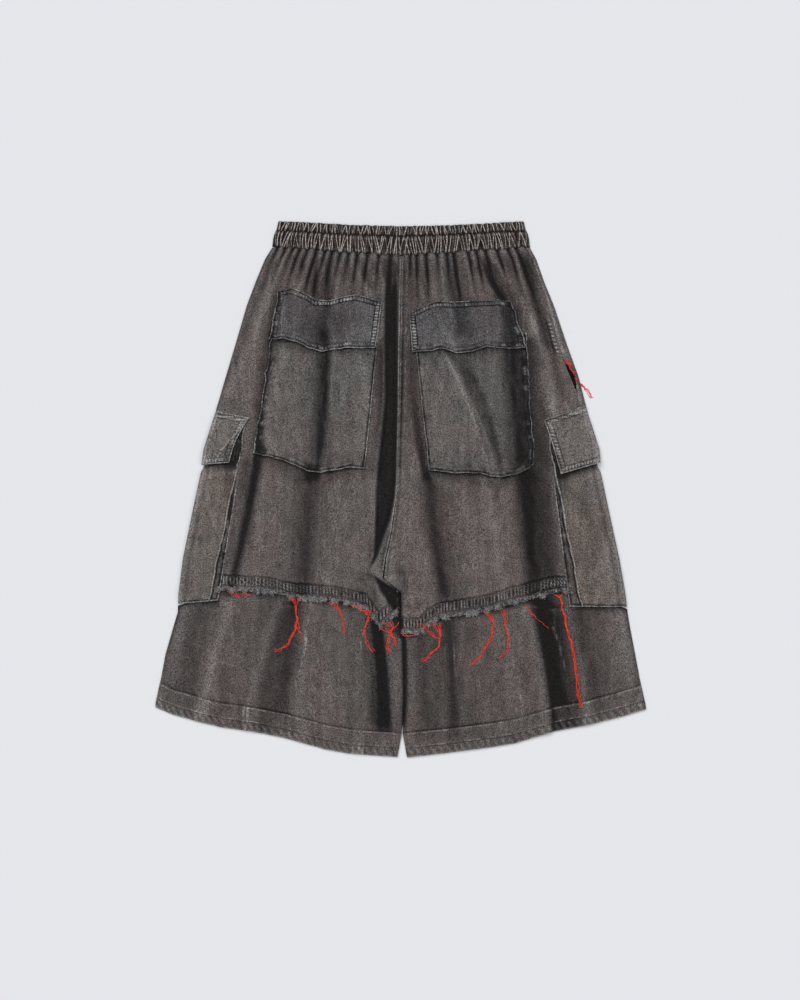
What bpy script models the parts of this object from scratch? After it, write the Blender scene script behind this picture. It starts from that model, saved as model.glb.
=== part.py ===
"""Wide washed-twill shorts with an elastic waist, laid flat with the back up.

+X is the right of the view, +Y runs to the waist and +Z is up. Every size below is in
millimetres. Each piece of cloth is a grid of through sections: an outer face and an inner
face one cloth apart, closed along its cut edges.
"""

import bmesh
import bpy
import numpy as np
from mathutils.bvhtree import BVHTree

CLOTH = 1.5  # washed twill, fulled
FLAP_CLOTH = 2.2  # two layers, bagged out and topstitched
HEM_CLOTH = 2.6  # the turned hem
BAND_CLOTH = 2.6  # waistband wall, folded twill over elastic
SEAM_GAP = 0.45  # clear space between neighbouring pieces
REST_GAP = 0.6  # clear space between a piece and what it lies on
LOFT = 9.5  # how far the back stands off the front
HEM_LOFT = 2.4  # the same at the hem, which lies closed
WAIST_LOFT = 3.5
ROLL = 24.0  # width of the rolled side
LEG_ROLL = 13.0  # the same on the inner leg
CARGO_STEP = 8.3  # the side runs this far inside the cargo pocket
CORNER = 3.2  # reach of the turn where a piece wraps round the side
FLAP_STEP = 4.4  # the cargo bag runs this far inside its flap
WRAP_UNDER = 62.0  # how far a cargo pocket reaches under the leg
TIER_TUCK = 24.0  # the lower tier starts this far above the raw edge
GATHER = 1.5  # height of the panel's gathers below the band
BAND_GATHER = 3.0
BAND_GATHERS = 44
STRAIGHT_SEAM = -6.3  # the fronts' seam runs straight under the crotch fold
STRAND = 0.85  # a loose thread end, side to side
GARMENT = "gathered_twill_shorts"
CENTRE = (-0.85, 0.68)  # middle of the outline, moved to the origin

# Silhouette of the garment, cargo pockets included, from the waist seam to the hem.
# columns: y, left edge x, right edge x
OUTLINE = (
    (322, -169, 168),
    (304, -180, 178),
    (275, -192, 188),
    (243, -204, 201),
    (195, -218, 217),
    (148, -232, 234),
    (100, -246, 246),
    (53, -261, 261),
    (21, -265, 263),
    (-26, -275, 273),
    (-90, -288, 287),
    (-137, -294, 295),
    (-161, -295, 298),
    (-185, -302, 302),
    (-216, -311, 308),
    (-248, -317, 314),
    (-280, -324, 321),
    (-296, -325, 324),
)

# Centre back seam down to the crotch, then the two inner leg edges.
# columns: y, left panel's inner edge x, right panel's inner edge x
INNER = (
    (308, -0.3, 0.3),
    (119, -3.6, -3),
    (0, -6.2, -5.7),
    (-53, -12.9, -12.1),
    (-92, -21.6, -20.6),
    (-117, -25.2, -23.1),
    (-136, -4.4, -0.7),
    (-165, -2.5, -0.7),
    (-198, 2.9, 3.7),
    (-277, 3.8, 4.6),
    (-321, 0.1, 1.5),
    (-352, -5.7, 7.3),
)

# Waistband edges, dipping in the middle as the ring's near side does.
# columns: x, band's lower edge y, groove y, ruffle's top y
WAIST = (
    (-170, 320.1, 341.9, 354),
    (-134, 316.8, 340.6, 353),
    (-68, 311.5, 336.6, 349.1),
    (0, 308.2, 334.6, 347.2),
    (64, 311.5, 336.6, 348.5),
    (137, 316.8, 340.6, 352.4),
    (168, 320.1, 341.9, 353.8),
)

# Frayed lower edge of the upper legs.
# columns: x, raw edge y
RAW = (
    (-295, -130.7),
    (-237, -132),
    (-174, -134.6),
    (-134, -142.6),
    (-75, -147.8),
    (-44, -157.1),
    (-28, -182.2),
    (-5, -184.8),
    (2, -188.8),
    (22, -188.8),
    (35, -175.6),
    (51, -169),
    (104, -161),
    (156, -147.8),
    (212, -134.6),
    (298, -129.4),
)

# Lower edge of the hem.
# columns: x, hem y
HEM = (
    (-325, -286.4),
    (-303, -295.7),
    (-271, -304.9),
    (-240, -312.8),
    (-200, -318.1),
    (-155, -327.4),
    (-102, -341.9),
    (-71, -347.2),
    (-39, -349.8),
    (-7, -351.8),
    (9, -352.4),
    (56, -347.2),
    (119, -339.2),
    (151, -334),
    (204, -318.1),
    (246, -310.2),
    (288, -299.6),
    (324, -289.1),
)

# Main ridges (height above 0) and troughs (below 0) of the back.
# columns: fold, top y, x, middle y, x, foot y, x, width to the left, to the right, height
FOLDS = (
    ('left edge ridge', 314, -156, 218, -191, 119, -232, 9.2, 13.2, 4.5),
    ('left second ridge', 314, -147, 251, -176, 119, -197, 7.9, 13.2, 3.5),
    ('left gather bulge', 314, -119, 290, -125, 256, -139, 7.9, 5.3, 4),
    ('left gather slit', 309, -110, 284, -113, 251, -116, 4, 4, -3.5),
    ('left gather dip', 304, -100, 277, -98, 238, -97, 6.6, 5.3, -2.5),
    ('left gather rise', 309, -86, 284, -86, 244, -88, 6.6, 6.6, 3),
    ('left slanting rise', 309, -68, 284, -56, 251, -46, 6.6, 6.6, 3),
    ('rise by deep fold', 309, -34, 251, -23, 191, -27, 6.6, 5.3, 3.5),
    ('left long swell', 185, -145, 26, -147, -145, -154, 23.8, 21.1, 3.5),
    ('left pocket trough', 211, -100, 119, -102, 13, -113, 11.9, 6.6, -5),
    ('left pocket edge', 185, -84, 92, -84, -132, -93, 6.6, 13.2, 2.5),
    ('left hip swell', 66, -167, -40, -184, -145, -195, 10.6, 11.9, 3),
    ('left side trough', 66, -184, -40, -204, -139, -226, 6.6, 7.9, -6),
    ('left lower trough', 26, -121, -53, -125, -145, -130, 11.9, 9.2, -3.5),
    ('right gather slit', 306, 106, 277, 117, 235, 146, 4, 5.3, -4),
    ('right long ridge', 310, 116, 224, 171, 92, 199, 7.9, 11.9, 5.5),
    ('right side valley', 310, 158, 251, 174, 185, 192, 6.6, 6.6, -3.5),
    ('right side ridge', 277, 180, 198, 204, 92, 225, 9.2, 9.2, 3),
    ('right centre rise', 309, 14, 284, 20, 244, 30, 6.6, 6.6, 3),
    ('right gather rise', 309, 48, 284, 52, 238, 59, 6.6, 6.6, 3),
    ('right gather rise two', 309, 85, 284, 88, 251, 96, 6.6, 6.6, 3),
    ('right pocket ridge', 182, 52, 119, 88, 0, 129, 14.5, 6.6, 4),
    ('right pocket valley', 156, 90, 106, 112, 26, 130, 6.6, 5.3, -3),
    ('right pocket trough', 238, 146, 132, 146, 26, 156, 9.2, 7.9, -5),
    ('right low ridge', 26, 106, -53, 123, -145, 133, 10.6, 10.6, 4),
    ('right low trough', 26, 162, -53, 168, -152, 172, 15.8, 14.5, -7),
    ('right inner valley', 26, 38, -40, 42, -145, 59, 10.6, 9.2, -4),
    ('right inner rise', 13, 11, -40, 18, -92, 26, 10.6, 7.9, 2.5),
    ('right side rise', 26, 199, -40, 204, -132, 209, 9.2, 7.9, 2),
    ('tier left side ridge', -140, -222, -224, -248, -306, -267, 11.9, 11.9, 4),
    ('tier left hip ridge', -140, -155, -198, -179, -323, -200, 11.9, 11.9, 4.5),
    ('tier left trough', -135, -134, -211, -147, -330, -154, 10.6, 10.6, -6),
    ('tier left rise', -145, -118, -211, -127, -337, -134, 6.6, 11.9, 3),
    ('tier left inner rise', -145, -57, -251, -47, -343, -55, 11.9, 7.9, 2.5),
    ('tier left deep fold', -132, -39, -211, -28, -343, -23, 6.6, 6.6, -8),
    ('tier left far dip', -198, -213, -264, -229, -317, -237, 13.2, 10.6, -2.5),
    ('tier right valley', -165, 65, -224, 67, -343, 71, 6.6, 5.3, -4),
    ('tier right rise', -165, 77, -224, 77, -337, 81, 7.9, 15.8, 3),
    ('tier right ridge', -145, 160, -211, 176, -333, 193, 11.9, 9.2, 5),
    ('tier right trough', -140, 183, -211, 195, -327, 212, 9.2, 11.9, -6.5),
    ('tier right side ridge', -145, 217, -211, 230, -317, 249, 10.6, 11.9, 3.5),
    ('tier right dip', -198, 119, -277, 125, -341, 130, 15.8, 13.2, -3),
    ('tier right inner dip', -185, 24, -264, 30, -346, 34, 10.6, 10.6, -3),
)

# The deep fold beside the centre seam.
# columns: y, left wall x, right wall x, depth
DEEP = (
    (293, -17.8, -7.3, 0),
    (251, -21.1, -5.9, 7),
    (185, -21.1, -5.9, 10),
    (119, -20.5, -5.9, 11),
    (53, -27.1, -7.3, 13),
    (13, -31, -7.9, 14),
    (-13, -32.3, -10.6, 15),
    (-40, -33, -16.5, 15),
    (-66, -33.7, -25.7, 13),
    (-87, -35, -32.3, 8),
    (-100, -41.6, -38.9, 0),
)

# Edge of the crotch fold that lies over the left leg.
# columns: y, fold's edge x, how far it stands up
CROTCH = (
    (26, -5.9, 0),
    (-13, -9.9, 3),
    (-40, -15.8, 5),
    (-73, -28.4, 7),
    (-95, -37.6, 8),
    (-108, -44.2, 8.5),
    (-123, -21.8, 8),
    (-135, -2, 7),
)

# Corners of the pieces sewn flat on the back.
# columns: piece, top left x, y, top right x, y, foot left x, y, foot right x, y
PATCHES = (
    ('pocket_bag_left', -170, 207, -30, 207, -195, 46, -48, 30),
    ('pocket_bag_right', 16, 207, 163, 207, 36, 25, 175, 34),
    ('pocket_flap_left', -162, 256, -26, 249, -175, 197, -34, 185),
    ('pocket_flap_right', 10, 234, 145, 248, 14, 181, 163, 186),
)

# How the patch pieces' top and foot edges leave the straight line between their corners.
# columns: piece, share across, top edge's rise, foot edge's rise
EDGES = (
    ('pocket_flap_left', 0, 5.3, 0),
    ('pocket_flap_left', 0.13, 10.6, 3.3),
    ('pocket_flap_left', 0.28, 3.3, 0),
    ('pocket_flap_left', 0.36, -3.3, -5.3),
    ('pocket_flap_left', 0.5, -3.4, -9.2),
    ('pocket_flap_left', 0.63, 2.6, -4.5),
    ('pocket_flap_left', 0.75, 6.1, -1.3),
    ('pocket_flap_left', 1, -1.3, 1.3),
    ('pocket_flap_right', 0, -1.3, 0),
    ('pocket_flap_right', 0.16, 7, 0.7),
    ('pocket_flap_right', 0.26, 10.6, 3.3),
    ('pocket_flap_right', 0.4, 7.7, -3.4),
    ('pocket_flap_right', 0.5, 6.6, -2.6),
    ('pocket_flap_right', 0.66, 5.7, 4),
    ('pocket_flap_right', 0.85, 4.2, 0),
    ('pocket_flap_right', 1, 0, 1.3),
    ('pocket_bag_left', 0, 0, 2.6),
    ('pocket_bag_left', 0.23, 0, -1.6),
    ('pocket_bag_left', 0.38, 0, -7.4),
    ('pocket_bag_left', 0.48, 0, -13.2),
    ('pocket_bag_left', 0.6, 0, -13.2),
    ('pocket_bag_left', 0.72, 0, -8.6),
    ('pocket_bag_left', 0.87, 0, -2.2),
    ('pocket_bag_left', 1, 0, -1.3),
    ('pocket_bag_right', 0, 0, 1.3),
    ('pocket_bag_right', 0.2, 0, -4.5),
    ('pocket_bag_right', 0.48, 0, -7.1),
    ('pocket_bag_right', 0.58, 0, -11.9),
    ('pocket_bag_right', 0.7, 0, -14.1),
    ('pocket_bag_right', 0.83, 0, -11.5),
    ('pocket_bag_right', 0.95, 0, -4.9),
    ('pocket_bag_right', 1, 0, 0),
)

# Pockets that wrap round the side.
# columns: piece, side, top inner x, y, foot inner x, y, top outer y, foot outer y
CARGO = (
    ('cargo_bag_left', -1, -204, 82, -241, -145, 92, -150),
    ('cargo_bag_right', 1, 191, 79, 221, -153, 98, -154),
    ('cargo_flap_left', -1, -200, 95, -226, 36, 108, 33),
    ('cargo_flap_right', 1, 187, 92, 209, 21, 111, 36),
)

# Side pocket in the right seam: the front comes round the side as a strip.
# columns: y, width of the strip, width of the pocket's slot
STRIP = (
    (330, 5, 0),
    (262, 5, 0),
    (228, 8, 0),
    (173, 12.5, 0.2),
    (155, 12, 7.5),
    (139, 10, 4.5),
    (128, 8, 0),
    (100, 6, 0),
    (-150, 5, 0),
)

# Loose red thread ends: the lie of each bundle, from its root down.
# columns: bundle, strands, spread, root x, y, knee x, y, bend x, y, end x, y
THREADS = (
    ("thread_a", 6, 10, -141, -144, -138, -170, -146, -198, -166, -214),
    ("thread_b", 4, 7, -92, -150, -80, -162, -76, -176, -78, -188),
    ("thread_c", 5, 8, -48, -160, -44, -172, -48, -190, -36, -212),
    ("thread_d", 6, 9, 46, -177, 51, -198, 44, -212, 26, -225),
    ("thread_e", 5, 6, 113, -164, 120, -188, 108, -212, 90, -232),
    ("thread_f", 4, 6, 134, -159, 140, -190, 140, -208, 128, -221),
    ("thread_h", 5, 7, 217, 168, 230, 150, 242, 134, 252, 122),
    ("thread_g", 6, 7, 206, -140, 218, -180, 232, -250, 236, -284),
)


def column(table, k):
    return np.array([row[k] for row in table], float)


def along(table, key, value, at):
    """One column of a table read at places along another."""
    keys = column(table, key)
    order = np.argsort(keys)
    return np.interp(at, keys[order], column(table, value)[order])


def smooth(t):
    t = np.clip(t, 0, 1)
    return t * t * (3 - 2 * t)


def rolled(q):
    """Quarter round from 0 at the edge to 1."""
    return np.sqrt(1 - (1 - np.clip(q, 0, 1)) ** 2)


def cargo_covers(y):
    """Share of the step that the side takes inside a cargo flap, then inside its bag."""
    top = 0.5 * smooth((117.3 - y) / 5) + 0.5 * smooth((103 - y) / 4.4)
    return top * smooth((y + 160.5) / 5)


def side_x(side, y):
    """The leg's own side; side is -1 for left and +1 for right."""
    edge = along(OUTLINE, 0, 1 if side < 0 else 2, y)
    return edge - side * CARGO_STEP * cargo_covers(y)


def inner_x(side, y):
    return along(INNER, 0, 1 if side < 0 else 2, y)


def strip_width(y):
    return along(STRIP, 0, 1, y)


def fold_height(x, y):
    total = np.zeros(np.shape(x))
    for _, y0, x0, y1, x1, y2, x2, left, right, high in FOLDS:
        a = (y - y1) * (y - y2) / ((y0 - y1) * (y0 - y2))
        b = (y - y0) * (y - y2) / ((y1 - y0) * (y1 - y2))
        c = (y - y0) * (y - y1) / ((y2 - y0) * (y2 - y1))
        inside = np.clip(y, y2 - 15, y0 + 15) == y
        off = np.where(inside, x - (a * x0 + b * x1 + c * x2), 999.0)
        ends = smooth((y0 + 11 - y) / 24) * smooth((y - y2 + 11) / 24)
        total = total + high * ends * np.exp(-((off / np.where(off < 0, left, right)) ** 2))
    return total


def back_height(x, y):
    """Height of the cloth's outer face over the floor."""
    left = rolled((x - side_x(-1, y)) / ROLL)
    right = rolled((side_x(1, y) - x) / ROLL)
    sides = left * right
    leg = np.where(x < inner_x(-1, y), inner_x(-1, y) - x, x - inner_x(1, y))
    split = smooth((-112 - y) / 26)
    legs = 1 - split * (1 - rolled(np.abs(leg) / LEG_ROLL))
    loft = WAIST_LOFT + (LOFT - WAIST_LOFT) * smooth((312 - y) / 70)
    over_hem = smooth((y - along(HEM, 0, 1, x)) / 120)
    loft = HEM_LOFT + (loft - HEM_LOFT) * over_hem
    high = (loft + fold_height(x, y)) * sides * legs
    seam = -1.6 * np.exp(-((leg / 4.0) ** 2)) * (1 - split)
    wall_l = smooth((x - along(DEEP, 0, 1, y) + 2.5) / 5)
    wall_r = smooth((along(DEEP, 0, 2, y) + 2.5 - x) / 5)
    deep = along(DEEP, 0, 3, y) * wall_l * wall_r
    edge = along(CROTCH, 0, 1, y)
    over = smooth((x - edge + 3) / 6) * np.exp(-((np.maximum(x - edge, 0) / 52) ** 2))
    stands = along(CROTCH, 0, 2, y) * over * smooth((20 - y) / 60) * smooth((y + 160) / 22)
    hollow = 9 * np.exp(-(((x + 14) / 9) ** 2) - ((y + 134) / 9) ** 2)
    return np.maximum(CLOTH * 2 + 0.8, 3.6 + high + seam - deep + stands - hollow)


def spread(near, count, far):
    """Shares from 0 to 1: the listed ones, then count even steps, then the last ones."""
    middle = np.linspace(near[-1], far[0], count + 2)[1:-1]
    return np.concatenate([near, middle, far])


def quads_to_triangles(rows, cols, start=0):
    """Triangles of a grid of points stored row by row."""
    found = []
    for r in range(rows - 1):
        for c in range(cols - 1):
            a = start + r * cols + c
            found += [(a, a + 1, a + cols + 1), (a, a + cols + 1, a + cols)]
    return found


def slope_stretch(points):
    """How much taller than the cloth its upright cut is, at each point."""
    dz_c = np.gradient(points[..., 2], axis=1)
    dx_c = np.hypot(np.gradient(points[..., 0], axis=1), np.gradient(points[..., 1], axis=1))
    return np.clip(np.sqrt(1 + (dz_c / np.maximum(dx_c, 0.3)) ** 2), 1, 1.7)


SAMPLES = [(i / 5, j / 5, 1 - (i + j) / 5) for i in range(6) for j in range(6 - i)]


def tree_of(points):
    rows, cols = points.shape[:2]
    flat = points.reshape(-1, 3)
    return BVHTree.FromPolygons([tuple(p) for p in flat], quads_to_triangles(rows, cols))


def drop(tree, x, y):
    """Height of a layer at a place, its triangle, or nothing."""
    hit = tree.ray_cast((x, y, 500.0), (0, 0, -1))
    return (hit[0][2], hit[2]) if hit[0] is not None else None


def spots_on(layer):
    """Corners and places between them on each triangle of a layer."""
    flat = layer.reshape(-1, 3)
    faces = np.array(quads_to_triangles(*layer.shape[:2]))
    weights = np.array(SAMPLES)
    return np.einsum("sk,fkc->fsc", weights, flat[faces]).reshape(-1, 3)


def rest_on(points, below, gap=REST_GAP, fixed=None):
    """How far each point of a lower face must rise to clear the layers below it."""
    rows, cols = points.shape[:2]
    flat = points.reshape(-1, 3).copy()
    faces = np.array(quads_to_triangles(rows, cols))
    needs = []
    own = tree_of(points)
    trees = [tree_of(layer) for layer in below]
    for f, face in enumerate(faces):
        corners = flat[face]
        for weights in SAMPLES:
            x, y, _ = np.dot(weights, corners)
            found = [hit[0] for hit in (drop(tree, x, y) for tree in trees) if hit]
            if found:
                needs.append((f, *weights, max(found)))
    for x, y, z in (spot for layer in below for spot in spots_on(layer)):
        hit = drop(own, x, y)
        if hit is None:
            continue
        a, b, c = flat[faces[hit[1]]]
        area = (b[0] - a[0]) * (c[1] - a[1]) - (c[0] - a[0]) * (b[1] - a[1])
        if abs(area) < 1e-6:
            continue
        wb = ((x - a[0]) * (c[1] - a[1]) - (c[0] - a[0]) * (y - a[1])) / area
        wc = ((b[0] - a[0]) * (y - a[1]) - (x - a[0]) * (b[1] - a[1])) / area
        needs.append((hit[1], 1 - wb - wc, wb, wc, z))
    if not needs:
        return np.zeros((rows, cols))
    needs = np.array(needs)
    who = faces[needs[:, 0].astype(int)]
    weights = needs[:, 1:4]
    for step in range(40):
        lack = needs[:, 4] + gap - (flat[who, 2] * weights).sum(axis=1)
        late = step > 30
        lift = np.where((weights > 0.12) | late, np.maximum(lack, 0)[:, None] * (1 if late else 0.4), 0)
        rise = np.zeros(len(flat))
        np.maximum.at(rise, who.reshape(-1), lift.reshape(-1))
        flat[:, 2] += rise
        if lack.max() < 1e-3:
            break
    return (flat[:, 2] - points.reshape(-1, 3)[:, 2]).reshape(rows, cols)


def make_node(name, work, look):
    """A named mesh object in the garment's collection, from millimetre geometry."""
    for vert in work.verts:
        vert.co = ((vert.co.x - CENTRE[0]) / 1000, (vert.co.y - CENTRE[1]) / 1000, vert.co.z / 1000)
    bmesh.ops.recalc_face_normals(work, faces=work.faces)
    if work.calc_volume(signed=True) < 0:
        bmesh.ops.reverse_faces(work, faces=work.faces)
    mesh = bpy.data.meshes.new(name)
    work.to_mesh(mesh)
    work.free()
    mesh.materials.append(look)
    made = bpy.data.objects.new(name, mesh)
    bpy.data.collections[GARMENT].objects.link(made)
    return made


def material(name, colour, rough):
    made = bpy.data.materials.new(name)
    made.use_nodes = True
    shader = made.node_tree.nodes["Principled BSDF"]
    shader.inputs["Base Color"].default_value = (*colour, 1)
    shader.inputs["Roughness"].default_value = rough
    made.diffuse_color = (*colour, 1)
    return made


def placed_grid(outer):
    """A plane of quads, each cut along the same diagonal, bent to the places given."""
    rows, cols = outer.shape[:2]
    work = bmesh.new()
    bmesh.ops.create_grid(work, x_segments=cols - 1, y_segments=rows - 1, size=1)
    place = work.verts.layers.int.new("place")
    ordered = sorted(work.verts, key=lambda v: (round(v.co.y, 5), round(v.co.x, 5)))
    for k, vert in enumerate(ordered):
        vert[place] = k
    for face in list(work.faces):
        corners = sorted(face.verts, key=lambda v: v[place])
        bmesh.utils.face_split(face, corners[0], corners[3])
    for vert, co in zip(ordered, outer.reshape(-1, 3)):
        vert.co = co
    return work, place


def shell(name, outer, inner, look, closed=False):
    """A bent grid given its cloth: its copy is extruded to the inner places."""
    if closed:
        outer = np.concatenate([outer, outer[:, :1]], axis=1)
        inner = np.concatenate([inner, inner[:, :1]], axis=1)
    work, place = placed_grid(outer)
    if closed:
        bmesh.ops.remove_doubles(work, verts=work.verts, dist=1e-4)
    made = bmesh.ops.extrude_face_region(work, geom=list(work.faces))["geom"]
    inside = inner.reshape(-1, 3)
    for vert in (item for item in made if isinstance(item, bmesh.types.BMVert)):
        vert.co = inside[vert[place]]
    return make_node(name, work, look)


def under_face(outer, cloth):
    """The lower face of a piece lying face up, one cloth below its upper face."""
    inner = outer.copy()
    inner[..., 2] -= cloth * slope_stretch(outer)
    inner[..., 2] = np.maximum(inner[..., 2], CLOTH + 0.6)
    return inner


def settle(outer, cloth, below, gap=REST_GAP):
    """Upper and lower face of a piece once it lies on the layers below."""
    inner = under_face(outer, cloth)
    lift = rest_on(inner, below, gap)
    outer[..., 2] += lift
    inner[..., 2] += lift
    return outer, inner


def leg_grid(side, shares, rows, top, foot, inset=0.0, seam_inset=0.0):
    """Places across one leg: share 0 at the side, 1 at the centre or inner leg.

    inset, one number or a function of y, draws the side in, and seam_inset the inner edge.
    """
    place = np.zeros((len(rows), len(shares), 3))
    top_x = side_x(side, 316) * (1 - shares) + inner_x(side, 300) * shares
    foot_x = side_x(side, -150) * (1 - shares) + inner_x(side, -165) * shares
    top_y = top(top_x, shares)
    foot_y = foot(foot_x, shares)
    for r, v in enumerate(rows):
        y = top_y * (1 - v) + foot_y * v
        outer = side_x(side, y) - side * (inset(y) if callable(inset) else inset)
        inner = inner_x(side, y)
        if seam_inset:
            inner = np.maximum(inner, STRAIGHT_SEAM) + side * seam_inset
        place[r, :, 0] = outer * (1 - shares) + inner * shares
        place[r, :, 1] = y
    return place


def band_foot(x, shares):
    return along(WAIST, 0, 1, x) - SEAM_GAP - 0.25


def raw_edge(x, shares):
    return along(RAW, 0, 1, x)


def tier_top(x, shares):
    """Top of a lower tier, tucked inside the raw edge."""
    return along(RAW, 0, 1, x) + TIER_TUCK


def hem_y(side, shares):
    """Hem edge across one leg."""
    edge = -325.0 if side < 0 else 324.0
    inner = -6.0 if side < 0 else 6.5
    return along(HEM, 0, 1, edge * (1 - shares) + inner * shares)




def cargo_places(kind, step, rows, reach):
    """Places of a cargo piece row by row: under leaf from its end to the side, then the top leaf."""
    _, side, ix0, iy0, ix1, iy1, oy0, oy1 = next(r for r in CARGO if r[0] == kind)
    under = np.zeros((len(rows), len(reach), 3))
    over = np.zeros((len(rows), len(reach) + 3, 3))
    for r, v in enumerate(rows):
        y_side = oy0 * (1 - v) + oy1 * v
        y_in = iy0 * (1 - v) + iy1 * v
        x_side = along(OUTLINE, 0, 1 if side < 0 else 2, y_side)
        x_side -= side * (step(y_side) if callable(step) else step)
        x_in = ix0 * (1 - v) + ix1 * v
        under[r, :, 0] = x_side - side * np.array(reach)
        under[r, :, 1] = y_side
        t = spread([0.07, 0.16], len(reach) - 1, [0.9, 1.0])
        over[r, :, 0] = x_side * (1 - t) + x_in * t
        over[r, :, 1] = y_side * (1 - t) + y_in * t
    return under, over, side


def tuck(side, y):
    """How far a lower tier's side is drawn in where it lies inside the upper leg."""
    return (CORNER + 0.8 if side > 0 else 0.6) * smooth((y + 150) / 12)


def bag_step(y):
    """The cargo bag is drawn in under its flap and swells out below it."""
    return FLAP_STEP * smooth((y - 21) / 13)


def wrap_shell(name, under_outer, under_inner, over_outer, over_inner, side, cloth, look):
    """Joins an under leaf and a top leaf round the side into one piece."""
    low_out = under_outer[:, -1:].copy()
    high_out = over_outer[:, :1].copy()
    x_side = low_out[..., 0] + side * CORNER
    low = low_out.copy()
    low[..., 0] = x_side - side * 0.8
    low[..., 2] += 0.9
    mid = low_out.copy()
    mid[..., 0] = x_side
    mid[..., 1] = (low_out[..., 1] + high_out[..., 1]) / 2
    mid[..., 2] = (low_out[..., 2] + high_out[..., 2]) / 2
    low_in = low.copy()
    low_in[..., 0] -= side * (cloth - 0.2)
    low_in[..., 2] += cloth * 0.7
    mid_in = mid.copy()
    mid_in[..., 0] -= side * cloth
    outer = np.concatenate([under_outer, low, mid, over_outer], axis=1)
    inner = np.concatenate([under_inner, low_in, mid_in, over_inner], axis=1)
    return shell(name, outer, inner, look)


def patch_places(name, cols, rows):
    """Places of a flat piece between its four corners."""
    _, ax, ay, bx, by, cx, cy, dx, dy = next(r for r in PATCHES if r[0] == name)
    u, v = np.meshgrid(cols, rows)
    place = np.zeros(u.shape + (3,))
    place[..., 0] = (ax * (1 - u) + bx * u) * (1 - v) + (cx * (1 - u) + dx * u) * v
    place[..., 1] = (ay * (1 - u) + by * u) * (1 - v) + (cy * (1 - u) + dy * u) * v
    edges = [row[1:] for row in EDGES if row[0] == name]
    place[..., 1] += along(edges, 0, 1, u) * (1 - v) ** 2 + along(edges, 0, 2, u) * v**2
    return place


def waistband(look):
    """The band's ring: gathered on the near face, plain underneath, open at both edges."""
    near = 2 * BAND_GATHERS + 1
    far = 14
    share = np.linspace(0, 1, near)
    back_share = np.linspace(0, 1, far)
    # columns: place between foot, groove and top; stand; share of the gathers; ends drawn in
    profile = (
        (0.0, 2.6, 0.3, 0),
        (0.1, 4.6, 0.9, 0.5),
        (0.5, 5.6, 1.0, 1.5),
        (0.9, 4.4, 0.9, 3.5),
        (1.0, 2.9, 0.25, 5.0),
        (1.12, 3.6, 0.8, 6.0),
        (2.0, 3.2, 0.7, 8.5),
    )
    foot_l, foot_r = -169.5, 168.5
    outer, inner = [], []
    for part, stand, crimp, ends_in in profile:
        x = foot_l * (1 - share) + foot_r * share + ends_in * (1 - 2 * share)
        foot = along(WAIST, 0, 1, x) + SEAM_GAP
        groove = along(WAIST, 0, 2, x)
        top = along(WAIST, 0, 3, x)
        y = foot + (groove - foot) * min(part, 1) + (top - groove) * max(part - 1, 0)
        wave = 0.5 - 0.5 * np.cos(np.pi * np.arange(near))
        ends = rolled(np.minimum(share, 1 - share) / 0.02)
        over = BAND_CLOTH * 2 + 0.9 + (stand - 2.6 + BAND_GATHER * crimp * wave) * ends
        line = np.stack([x, y, over], axis=1)
        lower = line.copy()
        lower[:, 2] = np.maximum(line[:, 2] - BAND_CLOTH * 1.05, BAND_CLOTH + 0.5)
        lower[:, 0] = line[:, 0] * (1 - 2.4 / 169)
        xb = x[-1] * (1 - back_share) + x[0] * back_share
        yb = np.interp(xb, x, y)
        line_b = np.stack([xb * (1 - 1.2 / 169), yb, np.zeros(far)], axis=1)
        lower_b = np.stack([xb * (1 - 3.4 / 169), yb, np.full(far, BAND_CLOTH)], axis=1)
        right = np.array([[x[-1] + 1.0, y[-1], 2.9]])
        right_in = np.array([[x[-1] - 1.7, y[-1], BAND_CLOTH + 0.25]])
        left = np.array([[x[0] - 1.0, y[0], 2.9]])
        left_in = np.array([[x[0] + 1.7, y[0], BAND_CLOTH + 0.25]])
        outer.append(np.concatenate([line, right, line_b, left]))
        inner.append(np.concatenate([lower, right_in, lower_b, left_in]))
    return shell("waistband", np.array(outer), np.array(inner), look, closed=True)


def between(a, b):
    """Six spots from a to b."""
    return [(a[0] + (b[0] - a[0]) * t, a[1] + (b[1] - a[1]) * t) for t in np.linspace(0, 1, 6)]


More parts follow.
